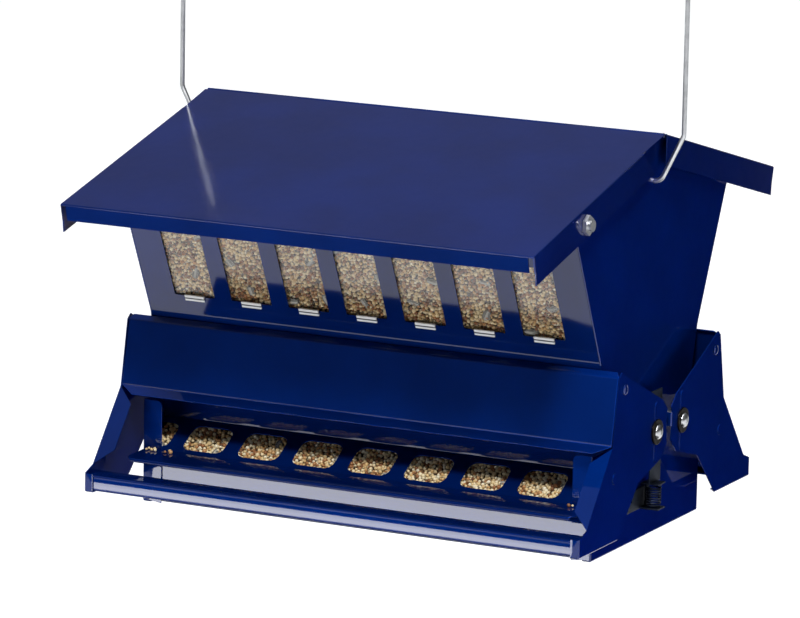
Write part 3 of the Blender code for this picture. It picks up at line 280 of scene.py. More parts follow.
class Shading:
    """The nodes of one material or of the room."""

    def __init__(self, owner, place, shader):
        owner.use_nodes = True
        self.nodes = owner.node_tree.nodes
        self.links = owner.node_tree.links
        self.shader = self.nodes[shader]
        self.place = self.node("ShaderNodeTexCoord", output=place)

    def feed(self, socket, value):
        """Give a socket a number or colour, or link a term to it."""
        if isinstance(value, Term):
            self.links.new(value.socket, socket)
        elif isinstance(value, (int, float)) or len(value) == len(socket.default_value):
            socket.default_value = value
        else:
            socket.default_value = (*value, 1.0)

    def node(self, kind, settings=None, inputs=None, output=0):
        """Add a node: its settings first, then its sockets; a ramp's settings hold its stops."""
        made = self.nodes.new(kind)
        for name, value in (settings or {}).items():
            if name == "stops":
                self.set_stops(made.color_ramp.elements, value)
            else:
                setattr(made, name, value)
        for name, value in (inputs or {}).items():
            self.feed(made.inputs[name], value)
        return Term(self, made.outputs[output])

    def set_stops(self, elements, stops):
        while len(elements) < len(stops):
            elements.new(1.0)
        for element, (position, colour) in zip(elements, stops):
            element.position = position
            element.color = (*colour, 1.0)

    def noise(self, scale, detail=2.0, roughness=0.5, stretch=None):
        """Noise of about 1/scale metres, optionally stretched along the object's axes."""
        place = self.place
        if stretch:
            place = self.node("ShaderNodeMapping", None, {"Vector": place, "Scale": stretch})
        inputs = {"Vector": place, "Scale": scale, "Detail": detail, "Roughness": roughness}
        return self.node("ShaderNodeTexNoise", None, inputs)

    def blend(self, factor, first, second):
        """Mix two colours."""
        made = self.nodes.new("ShaderNodeMix")
        made.data_type = "RGBA"
        factor_in, first_in, second_in = made.inputs[0], made.inputs[6], made.inputs[7]
        for socket, value in ((factor_in, factor), (first_in, first), (second_in, second)):
            self.feed(socket, value)
        return Term(self, made.outputs[2])

    def split(self):
        """The place's three coordinates."""
        made = self.nodes.new("ShaderNodeSeparateXYZ")
        self.feed(made.inputs[0], self.place)
        return [Term(self, socket) for socket in made.outputs]


class Finish(Shading):
    """A Principled material under construction."""

    def __init__(self, name):
        self.material = bpy.data.materials.new(name)
        super().__init__(self.material, "Object", "Principled BSDF")

    def bump(self, height, strength, distance):
        inputs = {"Strength": strength, "Distance": distance, "Height": height}
        self.feed(self.shader.inputs["Normal"], self.node("ShaderNodeBump", None, inputs))

    def set(self, **values):
        """Give the Principled shader's sockets their values, with _ for each space."""
        for name, value in values.items():
            self.feed(self.shader.inputs[name.replace("_", " ")], value)
        return self.material


def enamel(name, settings, lift, film=1.0):
    """Gloss powder enamel over flake, with a fine orange peel, faint clouding and a clear film."""
    paint = Finish(name)
    cloud = paint.noise(14.0, detail=3.0)
    speck = paint.noise(2600.0, detail=1.0)
    dust = paint.noise(90.0, detail=5.0, roughness=0.6)
    deep, pale = (tuple(c * (share + lift) for c in settings.colour) for share in CLOUDING)
    shade = (cloud * 0.7 + speck * 0.3).ramp(0.3, 0.7)
    peel = paint.noise(330.0, detail=1.5) + speck * 0.2
    paint.bump(peel, strength=0.16, distance=0.12 * MM)
    return paint.set(
        Base_Color=paint.blend(shade, deep, pale),
        Metallic=settings.metallic,
        Roughness=(settings.roughness + dust * 0.1).clamped(0.05, 0.9),
        Specular_IOR_Level=0.0,
        Specular_Tint=settings.edge_tint,
        Coat_Weight=1.0,
        Coat_Roughness=settings.coat_roughness * film,
        Coat_IOR=1.5,
    )


def plated(name, colour, roughness, grain):
    """Plated or blackened metal with drawn grain, spangle and a few dull patches."""
    metal = Finish(name)
    drawn = metal.noise(grain, detail=3.0, roughness=0.6, stretch=(1.0, 1.0, 6.0))
    spangle = metal.node("ShaderNodeTexVoronoi", None, {"Vector": metal.place, "Scale": 420.0}, "Color")
    patch = metal.noise(120.0, detail=4.0, roughness=0.6).ramp(0.4, 0.75)
    dull = tuple(c * 0.72 for c in colour)
    tone = metal.node("ShaderNodeSeparateColor", None, {"Color": spangle})
    metal.bump(drawn, strength=0.08, distance=0.1 * MM)
    return metal.set(
        Base_Color=metal.blend(patch * 0.6 + tone * 0.2, colour, dull),
        Metallic=1.0,
        Roughness=(roughness + drawn * 0.12 + patch * 0.12).clamped(0.08, 0.8),
    )


def acrylic(name, face_share, tint):
    """Clear sheet: a small mirroring share over the seed, and painted white glints on the hooked tabs."""
    pane = Finish(name)
    _, depth, height = pane.split()
    away = abs(depth) - WALL_LEDGE_DEPTH
    rise = height - WALL_LEDGE_HEIGHT
    out = away * math.cos(WALL_LEAN) - rise * math.sin(WALL_LEAN)
    up = away * math.sin(WALL_LEAN) + rise * math.cos(WALL_LEAN)
    tab = out.ramp(0.05 * MM, 0.25 * MM)
    seam = 1.0 - abs(up - TAB_SEAM).ramp(0.45 * MM, 0.75 * MM)
    haze = pane.noise(38.0, detail=3.0, roughness=0.6)
    wipe = pane.noise(160.0, stretch=(0.3, 1.0, 1.0))
    pane.bump(wipe, strength=0.04, distance=0.2 * MM)
    mirror = pane.blend(haze, tint, tuple(c * 0.9 for c in tint))
    # Painted highlight: the tabs take white glints, with a dark line between them at the seam height
    glint = pane.blend(seam, (0.86, 0.86, 0.84), (0.02, 0.024, 0.04))
    share = face_share + haze.ramp(0.45, 0.75) * (face_share * 0.4)
    return pane.set(
        Base_Color=pane.blend(tab, mirror, glint),
        Metallic=1.0 - tab,
        Roughness=0.05 + wipe * 0.06 + tab * 0.3,
        Alpha=(share + tab).clamped(0.0, 1.0),
    )


def grain_finish():
    """Husk of millet and milo: each grain has its own tone from the attribute it carries."""
    husk = Finish("seed_grain")
    tone = husk.node("ShaderNodeAttribute", {"attribute_name": "grain_tone"}, None, "Fac")
    base = husk.node("ShaderNodeValToRGB", {"stops": GRAIN_STOPS}, {"Fac": tone}, "Color")
    mottle = husk.noise(1500.0)
    husk.bump(mottle, strength=0.15, distance=0.2 * MM)
    return husk.set(
        Base_Color=husk.blend(mottle.ramp(0.35, 0.8) * 0.15, base, (0.30, 0.16, 0.07)),
        Roughness=0.30 + mottle * 0.2,
        Specular_IOR_Level=0.45,
    )


def bulk_finish():
    """Packed seed seen between the loose grains: cells the size of a grain, with painted shade in the
    gaps.
    """
    bulk = Finish("packed_seed")
    place = bulk.node("ShaderNodeMapping", None, {"Vector": bulk.place, "Scale": (1.0, 1.0, 1.25)})
    inputs = {"Vector": place, "Scale": 310.0}
    cell = bulk.node("ShaderNodeTexVoronoi", None, inputs, "Color")
    gap = bulk.node("ShaderNodeTexVoronoi", None, inputs, "Distance")
    tone = bulk.node("ShaderNodeSeparateColor", None, {"Color": cell})
    base = bulk.node("ShaderNodeValToRGB", {"stops": GRAIN_STOPS}, {"Fac": tone}, "Color")
    bulk.bump(1.0 - gap * gap * 1.4, strength=0.9, distance=1.1 * MM)
    return bulk.set(
        # Painted shade: the gaps between the cells are nearly black
        Base_Color=bulk.blend(gap.ramp(0.25, 0.75), base, (0.05, 0.028, 0.012)),
        Roughness=0.55,
        Specular_IOR_Level=0.3,
    )


def sunflower_finish():
    """Grey-black sunflower hull with pale stripes along it."""
    hull = Finish("sunflower_hull")
    turn = hull.node("ShaderNodeAttribute", {"attribute_name": "stripe"}, None, "Fac")
    grain = hull.noise(900.0)
    stripe = (turn.math("SINE", turn * 25.0) + grain * 0.6).ramp(0.35, 0.8)
    hull.bump(grain, strength=0.1, distance=0.2 * MM)
    return hull.set(
        Base_Color=hull.blend(stripe, (0.05, 0.045, 0.04), (0.40, 0.38, 0.33)),
        Roughness=0.42 + grain * 0.15,
    )


def link(name, data, finish=None):
    """Put a datablock in the scene as a named object with one finish."""
    made = bpy.data.objects.new(name, data)
    bpy.context.scene.collection.objects.link(made)
    if finish:
        data.materials.clear()
        data.materials.append(finish)
    return made


def dressed(node, label, finish, rounding=0.0, edge_highlight_finish=None):
    """A merged copy of a frame node in its place, with even shading, rounded edges, and lighter edges as
    a painted highlight.
    """
    source = frame["nodes"][node]
    mesh = source.data.copy()
    work = bmesh.new()
    work.from_mesh(mesh)
    bmesh.ops.remove_doubles(work, verts=work.verts, dist=WELD)
    if rounding:
        bmesh.ops.dissolve_limit(work, angle_limit=FLAT_ANGLE, verts=work.verts, edges=work.edges)
    for one in work.faces:
        one.smooth = True
        one.material_index = 0
        # Narrow cut-edge faces take the lighter enamel, a painted highlight
        if edge_highlight_finish and not rounding and abs(one.normal.x) < CUT_EDGE_TURN:
            longest = max(edge.calc_length() for edge in one.edges)
            one.material_index = int(one.calc_area() * 2 / longest < CUT_EDGE_WIDTH)
    for one in work.edges:
        one.smooth = one.calc_face_angle(0.0) < SHARP_ANGLE
    work.to_mesh(mesh)
    work.free()
    if "custom_normal" in mesh.attributes:
        mesh.attributes.remove(mesh.attributes["custom_normal"])
    piece = link(label + "_" + node, mesh, finish)
    if edge_highlight_finish:
        mesh.materials.append(edge_highlight_finish)
    if rounding:
        soften = piece.modifiers.new("edges", "BEVEL")
        soften.width = rounding
        soften.segments = BEVEL_SEGMENTS
        soften.limit_method = "ANGLE"
        soften.angle_limit = SHARP_ANGLE
        # The rounding's faces take the lighter enamel, a painted highlight
        if edge_highlight_finish:
            soften.material = 1
    even = piece.modifiers.new("shading", "WEIGHTED_NORMAL")
    even.keep_sharp = True
    even.weight = 100
    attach(piece, source["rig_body"])
    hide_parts(node)
    return piece


def wall_point(face, x, up, out):
    """A place on a hopper wall's leaf: up it from the ledge, and out from its outer face."""
    depth = WALL_LEDGE_DEPTH + up * math.sin(WALL_LEAN) + out * math.cos(WALL_LEAN)
    return x, face * depth, WALL_LEDGE_HEIGHT + up * math.cos(WALL_LEAN) - out * math.sin(WALL_LEAN)


def tray_point(face, x, up, out):
    """A place on a tray's plate: up its slope from the front bend, and out from its top face."""
    depth = TRAY_FRONT_DEPTH - up * math.cos(TRAY_SLOPE) + out * math.sin(TRAY_SLOPE)
    return x, face * depth, TRAY_FRONT_HEIGHT + up * math.sin(TRAY_SLOPE) + out * math.cos(TRAY_SLOPE)


def shelf_point(face, x, up, out):
    """A place on a tray's shelf: outward from the front bend, and above its top."""
    return x, face * (TRAY_FRONT_DEPTH + up), TRAY_FRONT_HEIGHT - up * SHELF_DROP / SHELF_LENGTH + out


def patches(name, rectangles, place, face):
    """A hidden support for grains: rectangles (x, up, width, height, out) set by a placing function."""
    points, faces = [], []
    for x, up, width, height, out in rectangles:
        first = len(points)
        for right, top in CORNERS:
            points.append(place(face, x + right * width / 2, up + top * height / 2, out))
        faces.append((first, first + 1, first + 2, first + 3))
    mesh = bpy.data.meshes.new(name)
    mesh.from_pydata(points, [], faces)
    return link(name, mesh)


def row_places(count, pitch):
    """Places along X of an even row about the middle."""
    return [(i - (count - 1) / 2) * pitch for i in range(count)]


def window_patches():
    """Rectangles of seed behind the windows, just inside the panes."""
    scale = math.cos(WALL_LEAN)
    foot = (WINDOW_FOOT_HEIGHT - WALL_LEDGE_HEIGHT) / scale
    tall = WINDOW_HEIGHT / scale
    size = WINDOW_WIDTH + WINDOW_SEED_BORDER, tall + WINDOW_SEED_BORDER
    places = row_places(WINDOW_COUNT, WINDOW_PITCH)
    return [(x, foot + tall / 2, *size, -WINDOW_SEED_RECESS) for x in places]


def port_patches():
    """Rectangles of seed under the ports, cut off at the end plates."""
    middle = PORT_FOOT + PORT_LENGTH / 2
    made = []
    for x in row_places(PORT_COUNT, PORT_PITCH):
        left = max(-PORT_SEED_HALF_LENGTH, x - PORT_WIDTH / 2 - PORT_SEED_SIDE)
        right = min(PORT_SEED_HALF_LENGTH, x + PORT_WIDTH / 2 + PORT_SEED_SIDE)
        size = right - left, PORT_LENGTH + PORT_SEED_END
        made.append(((left + right) / 2, middle, *size, -PORT_SEED_RECESS))
    return made


def seed_places(half):
    """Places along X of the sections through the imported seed."""
    return [half * (2 * i / SEED_STEPS - 1) for i in range(SEED_STEPS + 1)]


def heap_section(x, settings):
    """Closed loop of (y, z) round the seed in the hopper and base at one place along X."""
    wave = sum(rise * math.sin(x * rate + start) for rise, rate, start in HEAP_WAVES)
    top = settings.fill_height
    half = [(depth, top + settings.mound * mound + wave * ripple) for depth, mound, ripple in HEAP_TOP]
    wall = (((top - WALL_LEDGE_HEIGHT) / math.cos(WALL_LEAN), PANE_SEED_RECESS),
            (PANE_SEED_FOOT, PANE_SEED_RECESS), (SHEET_SEED_FOOT, SHEET_SEED_RECESS))
    half += [wall_point(1, x, up, -recess)[1:] for up, recess in wall]
    half += BASE_SEED_SHOULDER
    half += [tray_point(1, x, up, -SHEET_SEED_RECESS)[1:] for up in TRAY_SEED_ENDS]
    half += BASE_SEED_FOOT
    rear = [(-depth, height) for depth, height in reversed(half[1:-1])]
    return half + rear


def heap_support(settings):
    """A hidden copy of the heap's top, on which its loose grains are laid."""
    points, faces = [], []
    for x in seed_places(HEAP_HALF_LENGTH):
        top = heap_section(x, settings)[:len(HEAP_TOP) + 1]
        row = [(-y, z) for y, z in reversed(top[1:])] + top
        points += [(x, y, z + HEAP_LIFT) for y, z in row]
    size = len(points) // (SEED_STEPS + 1)
    for i in range(SEED_STEPS):
        for j in range(size - 1):
            near = i * size + j
            faces.append((near, near + size, near + size + 1, near + 1))
    mesh = bpy.data.meshes.new("heap_support")
    mesh.from_pydata(points, [], faces)
    return link("heap_support", mesh)


def grain_form(name, length, width, thickness, rings, around, blunt):
    """One closed grain along its own X, blunt at one end, with a stripe attribute round it."""
    points, stripes = [(-length / 2, 0, 0)], [0.0]
    for i in range(1, rings + 1):
        along = i / (rings + 1)
        swell = math.sqrt(math.sin(math.pi * along ** blunt))
        for j in range(around):
            turn = math.tau * j / around
            points.append((length * (along - 0.5), width / 2 * swell * math.cos(turn),
                           thickness / 2 * swell * math.sin(turn)))
            stripes.append(abs(math.cos(turn)))
    points.append((length / 2, 0, 0))
    stripes.append(0.0)
    last = len(points) - 1
    faces = []
    for j in range(around):
        k = (j + 1) % around
        faces.append((0, 1 + k, 1 + j))
        for i in range(rings - 1):
            near, far = 1 + i * around, 1 + (i + 1) * around
            faces.append((near + j, near + k, far + k, far + j))
        ring = 1 + (rings - 1) * around
        faces.append((ring + j, ring + k, last))
    mesh = bpy.data.meshes.new(name)
    mesh.from_pydata(points, [], faces)
    mesh.shade_smooth()
    stripe = mesh.attributes.new("stripe", "FLOAT", "POINT")
    stripe.data.foreach_set("value", stripes)
    return link(name, mesh)


class Scatter:
    """A Geometry Nodes tree that lays grains over a support, with named inputs."""

    def __init__(self, name, forms, finish, most):
        self.tree = bpy.data.node_groups.new(name, "GeometryNodeTree")
        self.sockets = {}
        self.add_socket("Support", "NodeSocketGeometry")
        for label, kind in (("Spacing", "NodeSocketFloat"), ("Size", "NodeSocketFloat"),
                            ("Spread", "NodeSocketFloat"), ("Seed", "NodeSocketInt"),
                            ("Upright", "NodeSocketFloat"), ("Tone", "NodeSocketFloat")):
            self.add_socket(label, kind)
        self.tree.interface.new_socket("Grains", in_out="OUTPUT", socket_type="NodeSocketGeometry")
        self.start = self.tree.nodes.new("NodeGroupInput")
        self.stop = self.tree.nodes.new("NodeGroupOutput")
        self.build(forms, finish, most)

    def add_socket(self, label, kind):
        made = self.tree.interface.new_socket(label, in_out="INPUT", socket_type=kind)
        self.sockets[label] = made.identifier

    def node(self, kind, settings=None, inputs=None):
        """Add a node; its inputs are values, or output sockets to link."""
        made = self.tree.nodes.new(kind)
        for name, value in (settings or {}).items():
            setattr(made, name, value)
        for name, value in (inputs or {}).items():
            socket = made.inputs[name]
            if isinstance(value, bpy.types.NodeSocket):
                self.tree.links.new(value, socket)
            else:
                socket.default_value = value
        return made

    def maths(self, operation, first, second):
        return self.node("ShaderNodeMath", {"operation": operation}, {0: first, 1: second}).outputs[0]

    def random(self, kind, low, high, seed):
        """A random value for each grain; the seed is the tree's own plus a fixed number."""
        low_in, high_in, result = {"INT": (4, 5, 2), "FLOAT": (2, 3, 1), "FLOAT_VECTOR": (0, 1, 0)}[kind]
        moved = self.maths("ADD", self.start.outputs["Seed"], float(seed))
        values = {low_in: low, high_in: high, "Seed": moved}
        return self.node("FunctionNodeRandomValue", {"data_type": kind}, values).outputs[result]

    def build(self, forms, finish, most):
        given = self.start.outputs
        spread = self.node("GeometryNodeDistributePointsOnFaces", {"distribute_method": "POISSON"},
                           {"Mesh": given["Support"], "Distance Min": given["Spacing"],
                            "Density Max": most, "Seed": given["Seed"]})
        heap = self.node("GeometryNodeJoinGeometry")
        for form in reversed(forms):
            info = self.node("GeometryNodeObjectInfo", None, {"Object": form, "As Instance": True})
            self.tree.links.new(info.outputs["Geometry"], heap.inputs["Geometry"])
        low = self.maths("SUBTRACT", 1.0, given["Spread"])
        high = self.maths("ADD", 1.0, given["Spread"])
        size = self.maths("MULTIPLY", self.random("FLOAT", low, high, seed=3), given["Size"])
        turned = self.random("FLOAT_VECTOR", (-math.pi,) * 3, (math.pi,) * 3, seed=5)
        laid = self.node("ShaderNodeVectorMath", {"operation": "MULTIPLY"},
                         {0: turned, 1: self.flatten(given["Upright"])})
        aligned = self.node("FunctionNodeRotateRotation", {"rotation_space": "LOCAL"},
                            {"Rotation": spread.outputs["Rotation"]})
        euler = self.node("FunctionNodeEulerToRotation", None, {0: laid.outputs[0]})
        self.tree.links.new(euler.outputs[0], aligned.inputs["Rotate By"])
        placed = self.node("GeometryNodeInstanceOnPoints", None,
                           {"Points": spread.outputs["Points"], "Instance": heap.outputs[0],
                            "Pick Instance": True, "Scale": size,
                            "Instance Index": self.random("INT", 0, len(forms) * 3, seed=7),
                            "Rotation": aligned.outputs[0]})
        toned = self.node("GeometryNodeStoreNamedAttribute", {"data_type": "FLOAT", "domain": "INSTANCE"},
                          {"Geometry": placed.outputs[0], "Name": "grain_tone",
                           "Value": self.random("FLOAT", 0.0, given["Tone"], seed=11)})
        real = self.node("GeometryNodeRealizeInstances", None, {"Geometry": toned.outputs[0]})
        painted = self.node("GeometryNodeSetMaterial", None,
                            {"Geometry": real.outputs[0], "Material": finish})
        self.tree.links.new(painted.outputs[0], self.stop.inputs[0])

    def flatten(self, upright):
        """Rotation weights: a free turn about the support's normal and less tilt out of it."""
        made = self.node("ShaderNodeCombineXYZ", None, {"X": upright, "Y": upright, "Z": 1.0})
        return made.outputs[0]

    def lay(self, name, support, *, spacing, size, spread, seed, upright, tone, body):
        """Run the tree over a support and keep the result as a plain mesh on one body."""
        values = {"Spacing": spacing, "Size": size, "Spread": spread,
                  "Seed": seed, "Upright": upright, "Tone": tone}
        change = support.modifiers.new("grains", "NODES")
        change.node_group = self.tree
        for label, value in values.items():
            change[self.sockets[label]] = value
        bpy.context.view_layer.update()
        ready = support.evaluated_get(bpy.context.evaluated_depsgraph_get())
        mesh = bpy.data.meshes.new_from_object(ready)
        mesh.name = name
        support.modifiers.clear()
        bpy.data.objects.remove(support)
        piece = link(name, mesh)
        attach(piece, body)
        return piece


class EnamelSizes(bpy.types.PropertyGroup):
    """Finish of the painted sheet."""

    colour: FloatVectorProperty(name="Enamel colour", description="Colour of the powder enamel",
                                subtype="COLOR", size=3, min=0.0, max=1.0, default=(0.0004, 0.022, 0.185))
    edge_tint: FloatVectorProperty(name="Edge tint", description="Tint of the flake at a low angle",
                                   subtype="COLOR", size=3, min=0.0, max=1.0, default=(0.12, 0.25, 0.7))
    metallic: FloatProperty(name="Flake", description="Share of metal flake under the clear film",
                            min=0.0, max=1.0, default=0.76)
    roughness: FloatProperty(name="Base roughness", description="Roughness under the clear film",
                             min=0.0, max=1.0, default=0.43)
    coat_roughness: FloatProperty(name="Film roughness", description="Roughness of the clear film",
                                  min=0.0, max=1.0, default=0.03)
    rounding: FloatProperty(name="Edge rounding", description="Width of the rounding on cut edges",
                            unit="LENGTH", min=0.0, default=0.28 * MM)


class MetalSizes(bpy.types.PropertyGroup):
    """Finishes of the plated fittings and the washers."""

    zinc: FloatVectorProperty(name="Zinc colour", description="Colour of the plated steel",
                              subtype="COLOR", size=3, min=0.0, max=1.0, default=(0.62, 0.63, 0.65))
    # The straps, anchors and springs: zinc darkened as painted shade for the dark they mirror
    grey: FloatVectorProperty(name="Grey zinc colour", description="Colour of the straps and springs",
                              subtype="COLOR", size=3, min=0.0, max=1.0, default=(0.035, 0.045, 0.07))
    bronze: FloatVectorProperty(name="Bronze colour", description="Colour of the dark washers",
                                subtype="COLOR", size=3, min=0.0, max=1.0, default=(0.022, 0.017, 0.013))
    roughness: FloatProperty(name="Roughness", description="Roughness of the plating",
                             min=0.0, max=1.0, default=0.24)


class GrainSizes(bpy.types.PropertyGroup):
    """Sizes of the seed and how closely it lies."""

    fill_height: FloatProperty(name="Fill height", description="Height of the seed at the hopper walls",
                               unit="LENGTH", default=257 * MM)
    mound: FloatProperty(name="Mound", description="Rise of the heap in the middle",
                         unit="LENGTH", default=12 * MM)
    spacing: FloatProperty(name="Spacing", description="Least distance between grains at the openings",
                           unit="LENGTH", min=0.5 * MM, default=3.0 * MM)
    heap_spacing: FloatProperty(name="Heap spacing", unit="LENGTH", min=0.5 * MM,
                                description="Least distance between grains on the heap",
                                default=3.9 * MM)
    sunflower_spacing: FloatProperty(name="Sunflower spacing", unit="LENGTH", min=5 * MM,
                                     description="Least distance between sunflower seeds",
                                     default=33 * MM)
    seed: IntProperty(name="Seed", description="Start of the random placing", default=4)


class StageSizes(bpy.types.PropertyGroup):
    """Camera, floor and lights."""

    lens: FloatProperty(name="Lens", description="Focal length for a 36 mm wide picture",
                        default=247.86)
    distance: FloatProperty(name="Distance", description="From the aim point to the camera",
                            unit="LENGTH", default=4813.7 * MM)
    floor_drop: FloatProperty(name="Floor drop", description="How far the floor lies below the feeder",
                              unit="LENGTH", default=450 * MM)
    zenith: FloatProperty(name="Overhead light", description="Strength of the soft light overhead",
                          min=0.0, default=4.6)
    sky: FloatProperty(name="Upper room light", description="Strength of the grey light above eye level",
                       min=0.0, default=0.165)
    backdrop: FloatProperty(name="Backdrop light", description="Strength of the pale wall behind",
                            min=0.0, default=1.1)
    horizon: FloatProperty(name="Room light", description="Strength of the dim room at eye level",
                           min=0.0, default=0.03)


class FEEDER_OT_painted_sheets(bpy.types.Operator):
    """Dress every folded sheet in gloss blue enamel"""

    bl_idname = "feeder.painted_sheets"
    bl_label = "Painted sheets"

    def execute(self, context):
        settings = context.scene.feeder_enamel
        paint = enamel("blue_gloss_enamel", settings, 0.0)
        # The roof takes a darker, duller copy of the enamel
        darker_roof = enamel("blue_roof_enamel", settings, ROOF_LIFT, ROOF_FILM)
        # Cut and rounded edges take a lighter copy of the enamel: a painted highlight
        highlight_rim = enamel("blue_enamel_highlight_rim", settings, RIM_HIGHLIGHT_LIFT)
        # The hopper walls take a darker copy of the enamel: painted shade under the eave
        shaded = enamel("blue_wall_painted_shade_enamel", settings, WALL_SHADE_LIFT)
        for node in PAINTED:
            finish = paint
            if "roof" in node:
                finish = darker_roof
            if "hopper_wall" in node:
                finish = shaded
            rounding = 0.0 if node.startswith("arm_") else settings.rounding
            dressed(node, "painted", finish, rounding, highlight_rim)
        for node in RIVETS:
            dressed(node, "painted", paint, RIVET_ROUNDING)
        return {"FINISHED"}


class FEEDER_OT_fittings(bpy.types.Operator):
    """Dress the hinge rod, studs, sleeves, catches, straps, anchors, springs, bail and washers"""

    bl_idname = "feeder.fittings"
    bl_label = "Fittings"

    def execute(self, context):
        settings = context.scene.feeder_metal
        zinc = plated("bright_zinc", settings.zinc, settings.roughness, ZINC_GRAIN)
        # Straps, anchors and springs are darkened as painted shade for the dark they mirror
        grey = plated("zinc_darkened_as_painted_shade", settings.grey, GREY_ROUGHNESS, ZINC_GRAIN)
        bronze = plated("blackened_bronze", settings.bronze, BRONZE_ROUGHNESS, BRONZE_GRAIN)
        for node in PLATED:
            shaded = node.startswith(("lift_strap", "spring_anchor"))
            dressed(node, "plated", grey if shaded else zinc, FITTING_ROUNDING)
        for node in WIRES:
            dressed(node, "drawn", grey if node.startswith("spring") else zinc)
        for node in WASHERS:
            dressed(node, "blackened", bronze, WASHER_ROUNDING)
        return {"FINISHED"}


class FEEDER_OT_panes(bpy.types.Operator):
    """Dress the clear panes behind the windows"""

    bl_idname = "feeder.panes"
    bl_label = "Window panes"

    def execute(self, context):
        clear = acrylic("clear_pane", PANE_SHARE, PANE_TINT)
        for node in PANES:
            dressed(node, "clear", clear, FITTING_ROUNDING)
        return {"FINISHED"}


class FEEDER_OT_packed_seed(bpy.types.Operator):
    """Fill the hopper and the base with packed seed"""

    bl_idname = "feeder.packed_seed"
    bl_label = "Packed seed"

    def execute(self, context):
        settings = context.scene.feeder_grain
        work = bmesh.new()
        loops = []
        for x in seed_places(SEED_HALF_LENGTH):
            loops.append([work.verts.new((x, y, z)) for y, z in heap_section(x, settings)])
        size = len(loops[0])
        for near, far in zip(loops, loops[1:]):
            for j in range(size):
                k = (j + 1) % size
                work.faces.new((near[j], near[k], far[k], far[j]))
        for loop in (loops[0], loops[-1]):
            work.faces.new(loop)
        work.normal_update()
        caps = [one for one in work.faces if len(one.verts) > 4]
        bmesh.ops.triangulate(work, faces=caps, ngon_method="EAR_CLIP")
        bmesh.ops.recalc_face_normals(work, faces=work.faces)
        mesh = bpy.data.meshes.new("packed_seed")
        work.to_mesh(mesh)
        work.free()
        piece = link("packed_seed", mesh, bulk_finish())
        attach(piece, "hopper")
        return {"FINISHED"}


class FEEDER_OT_loose_grain(bpy.types.Operator):
    """Lay loose grains behind the windows, in the ports, on the heap and on the shelves"""

    bl_idname = "feeder.loose_grain"
    bl_label = "Loose grain"

    def execute(self, context):
        settings = context.scene.feeder_grain
        husk, hull = grain_finish(), sunflower_finish()
        forms = {name: grain_form("form_" + name, *form) for name, form in GRAIN_FORMS.items()}
        millet, milo, coarse, sunflower = forms.values()
        mixed = Scatter("lay_grains", [millet, millet, milo], husk, MIXED_DENSITY)
        rough = Scatter("lay_coarse_grains", [coarse], husk, COARSE_DENSITY)
        large = Scatter("lay_sunflower_seeds", [sunflower], hull, SUNFLOWER_DENSITY)
        sow = settings.seed
        panes, ports = window_patches(), port_patches()
        for where, face in FACES.items():
            # Window grain keeps to the darker tones (tone 0.7): painted shade behind the panes under the
            # eave
            mixed.lay("window_grain_" + where, patches("support", panes, wall_point, face),
                      spacing=settings.spacing, size=1.0, spread=0.18,
                      seed=sow, upright=1.0, tone=0.7, body="hopper")
            mixed.lay("port_grain_" + where, patches("support", ports, tray_point, face),
                      spacing=settings.spacing, size=1.0, spread=0.18,
                      seed=sow + 1, upright=1.0, tone=1.0, body="hopper")
            mixed.lay("spilt_grain_" + where, patches("support", SPILT_SEED, shelf_point, face),
                      spacing=settings.spacing * 1.1, size=0.95, spread=0.18,
                      seed=sow + 2, upright=1.0, tone=0.8, body="hopper")
            large.lay("window_sunflower_" + where, patches("support", panes, wall_point, face),
                      spacing=settings.sunflower_spacing, size=1.0, spread=0.15,
                      seed=sow + 3, upright=0.06, tone=1.0, body="hopper")
            large.lay("port_sunflower_" + where, patches("support", ports, tray_point, face),
                      spacing=settings.sunflower_spacing * 1.6, size=0.9, spread=0.15,
                      seed=sow + 4, upright=0.1, tone=1.0, body="hopper")
        rough.lay("heap_grain", heap_support(settings),
                  spacing=settings.heap_spacing, size=1.0, spread=0.2,
                  seed=sow + 5, upright=1.0, tone=1.0, body="hopper")
        large.lay("heap_sunflower", heap_support(settings),
                  spacing=settings.sunflower_spacing * 1.2, size=1.0, spread=0.15,
                  seed=sow + 6, upright=0.2, tone=1.0, body="hopper")
        for form in forms.values():
            bpy.data.objects.remove(form)
        return {"FINISHED"}


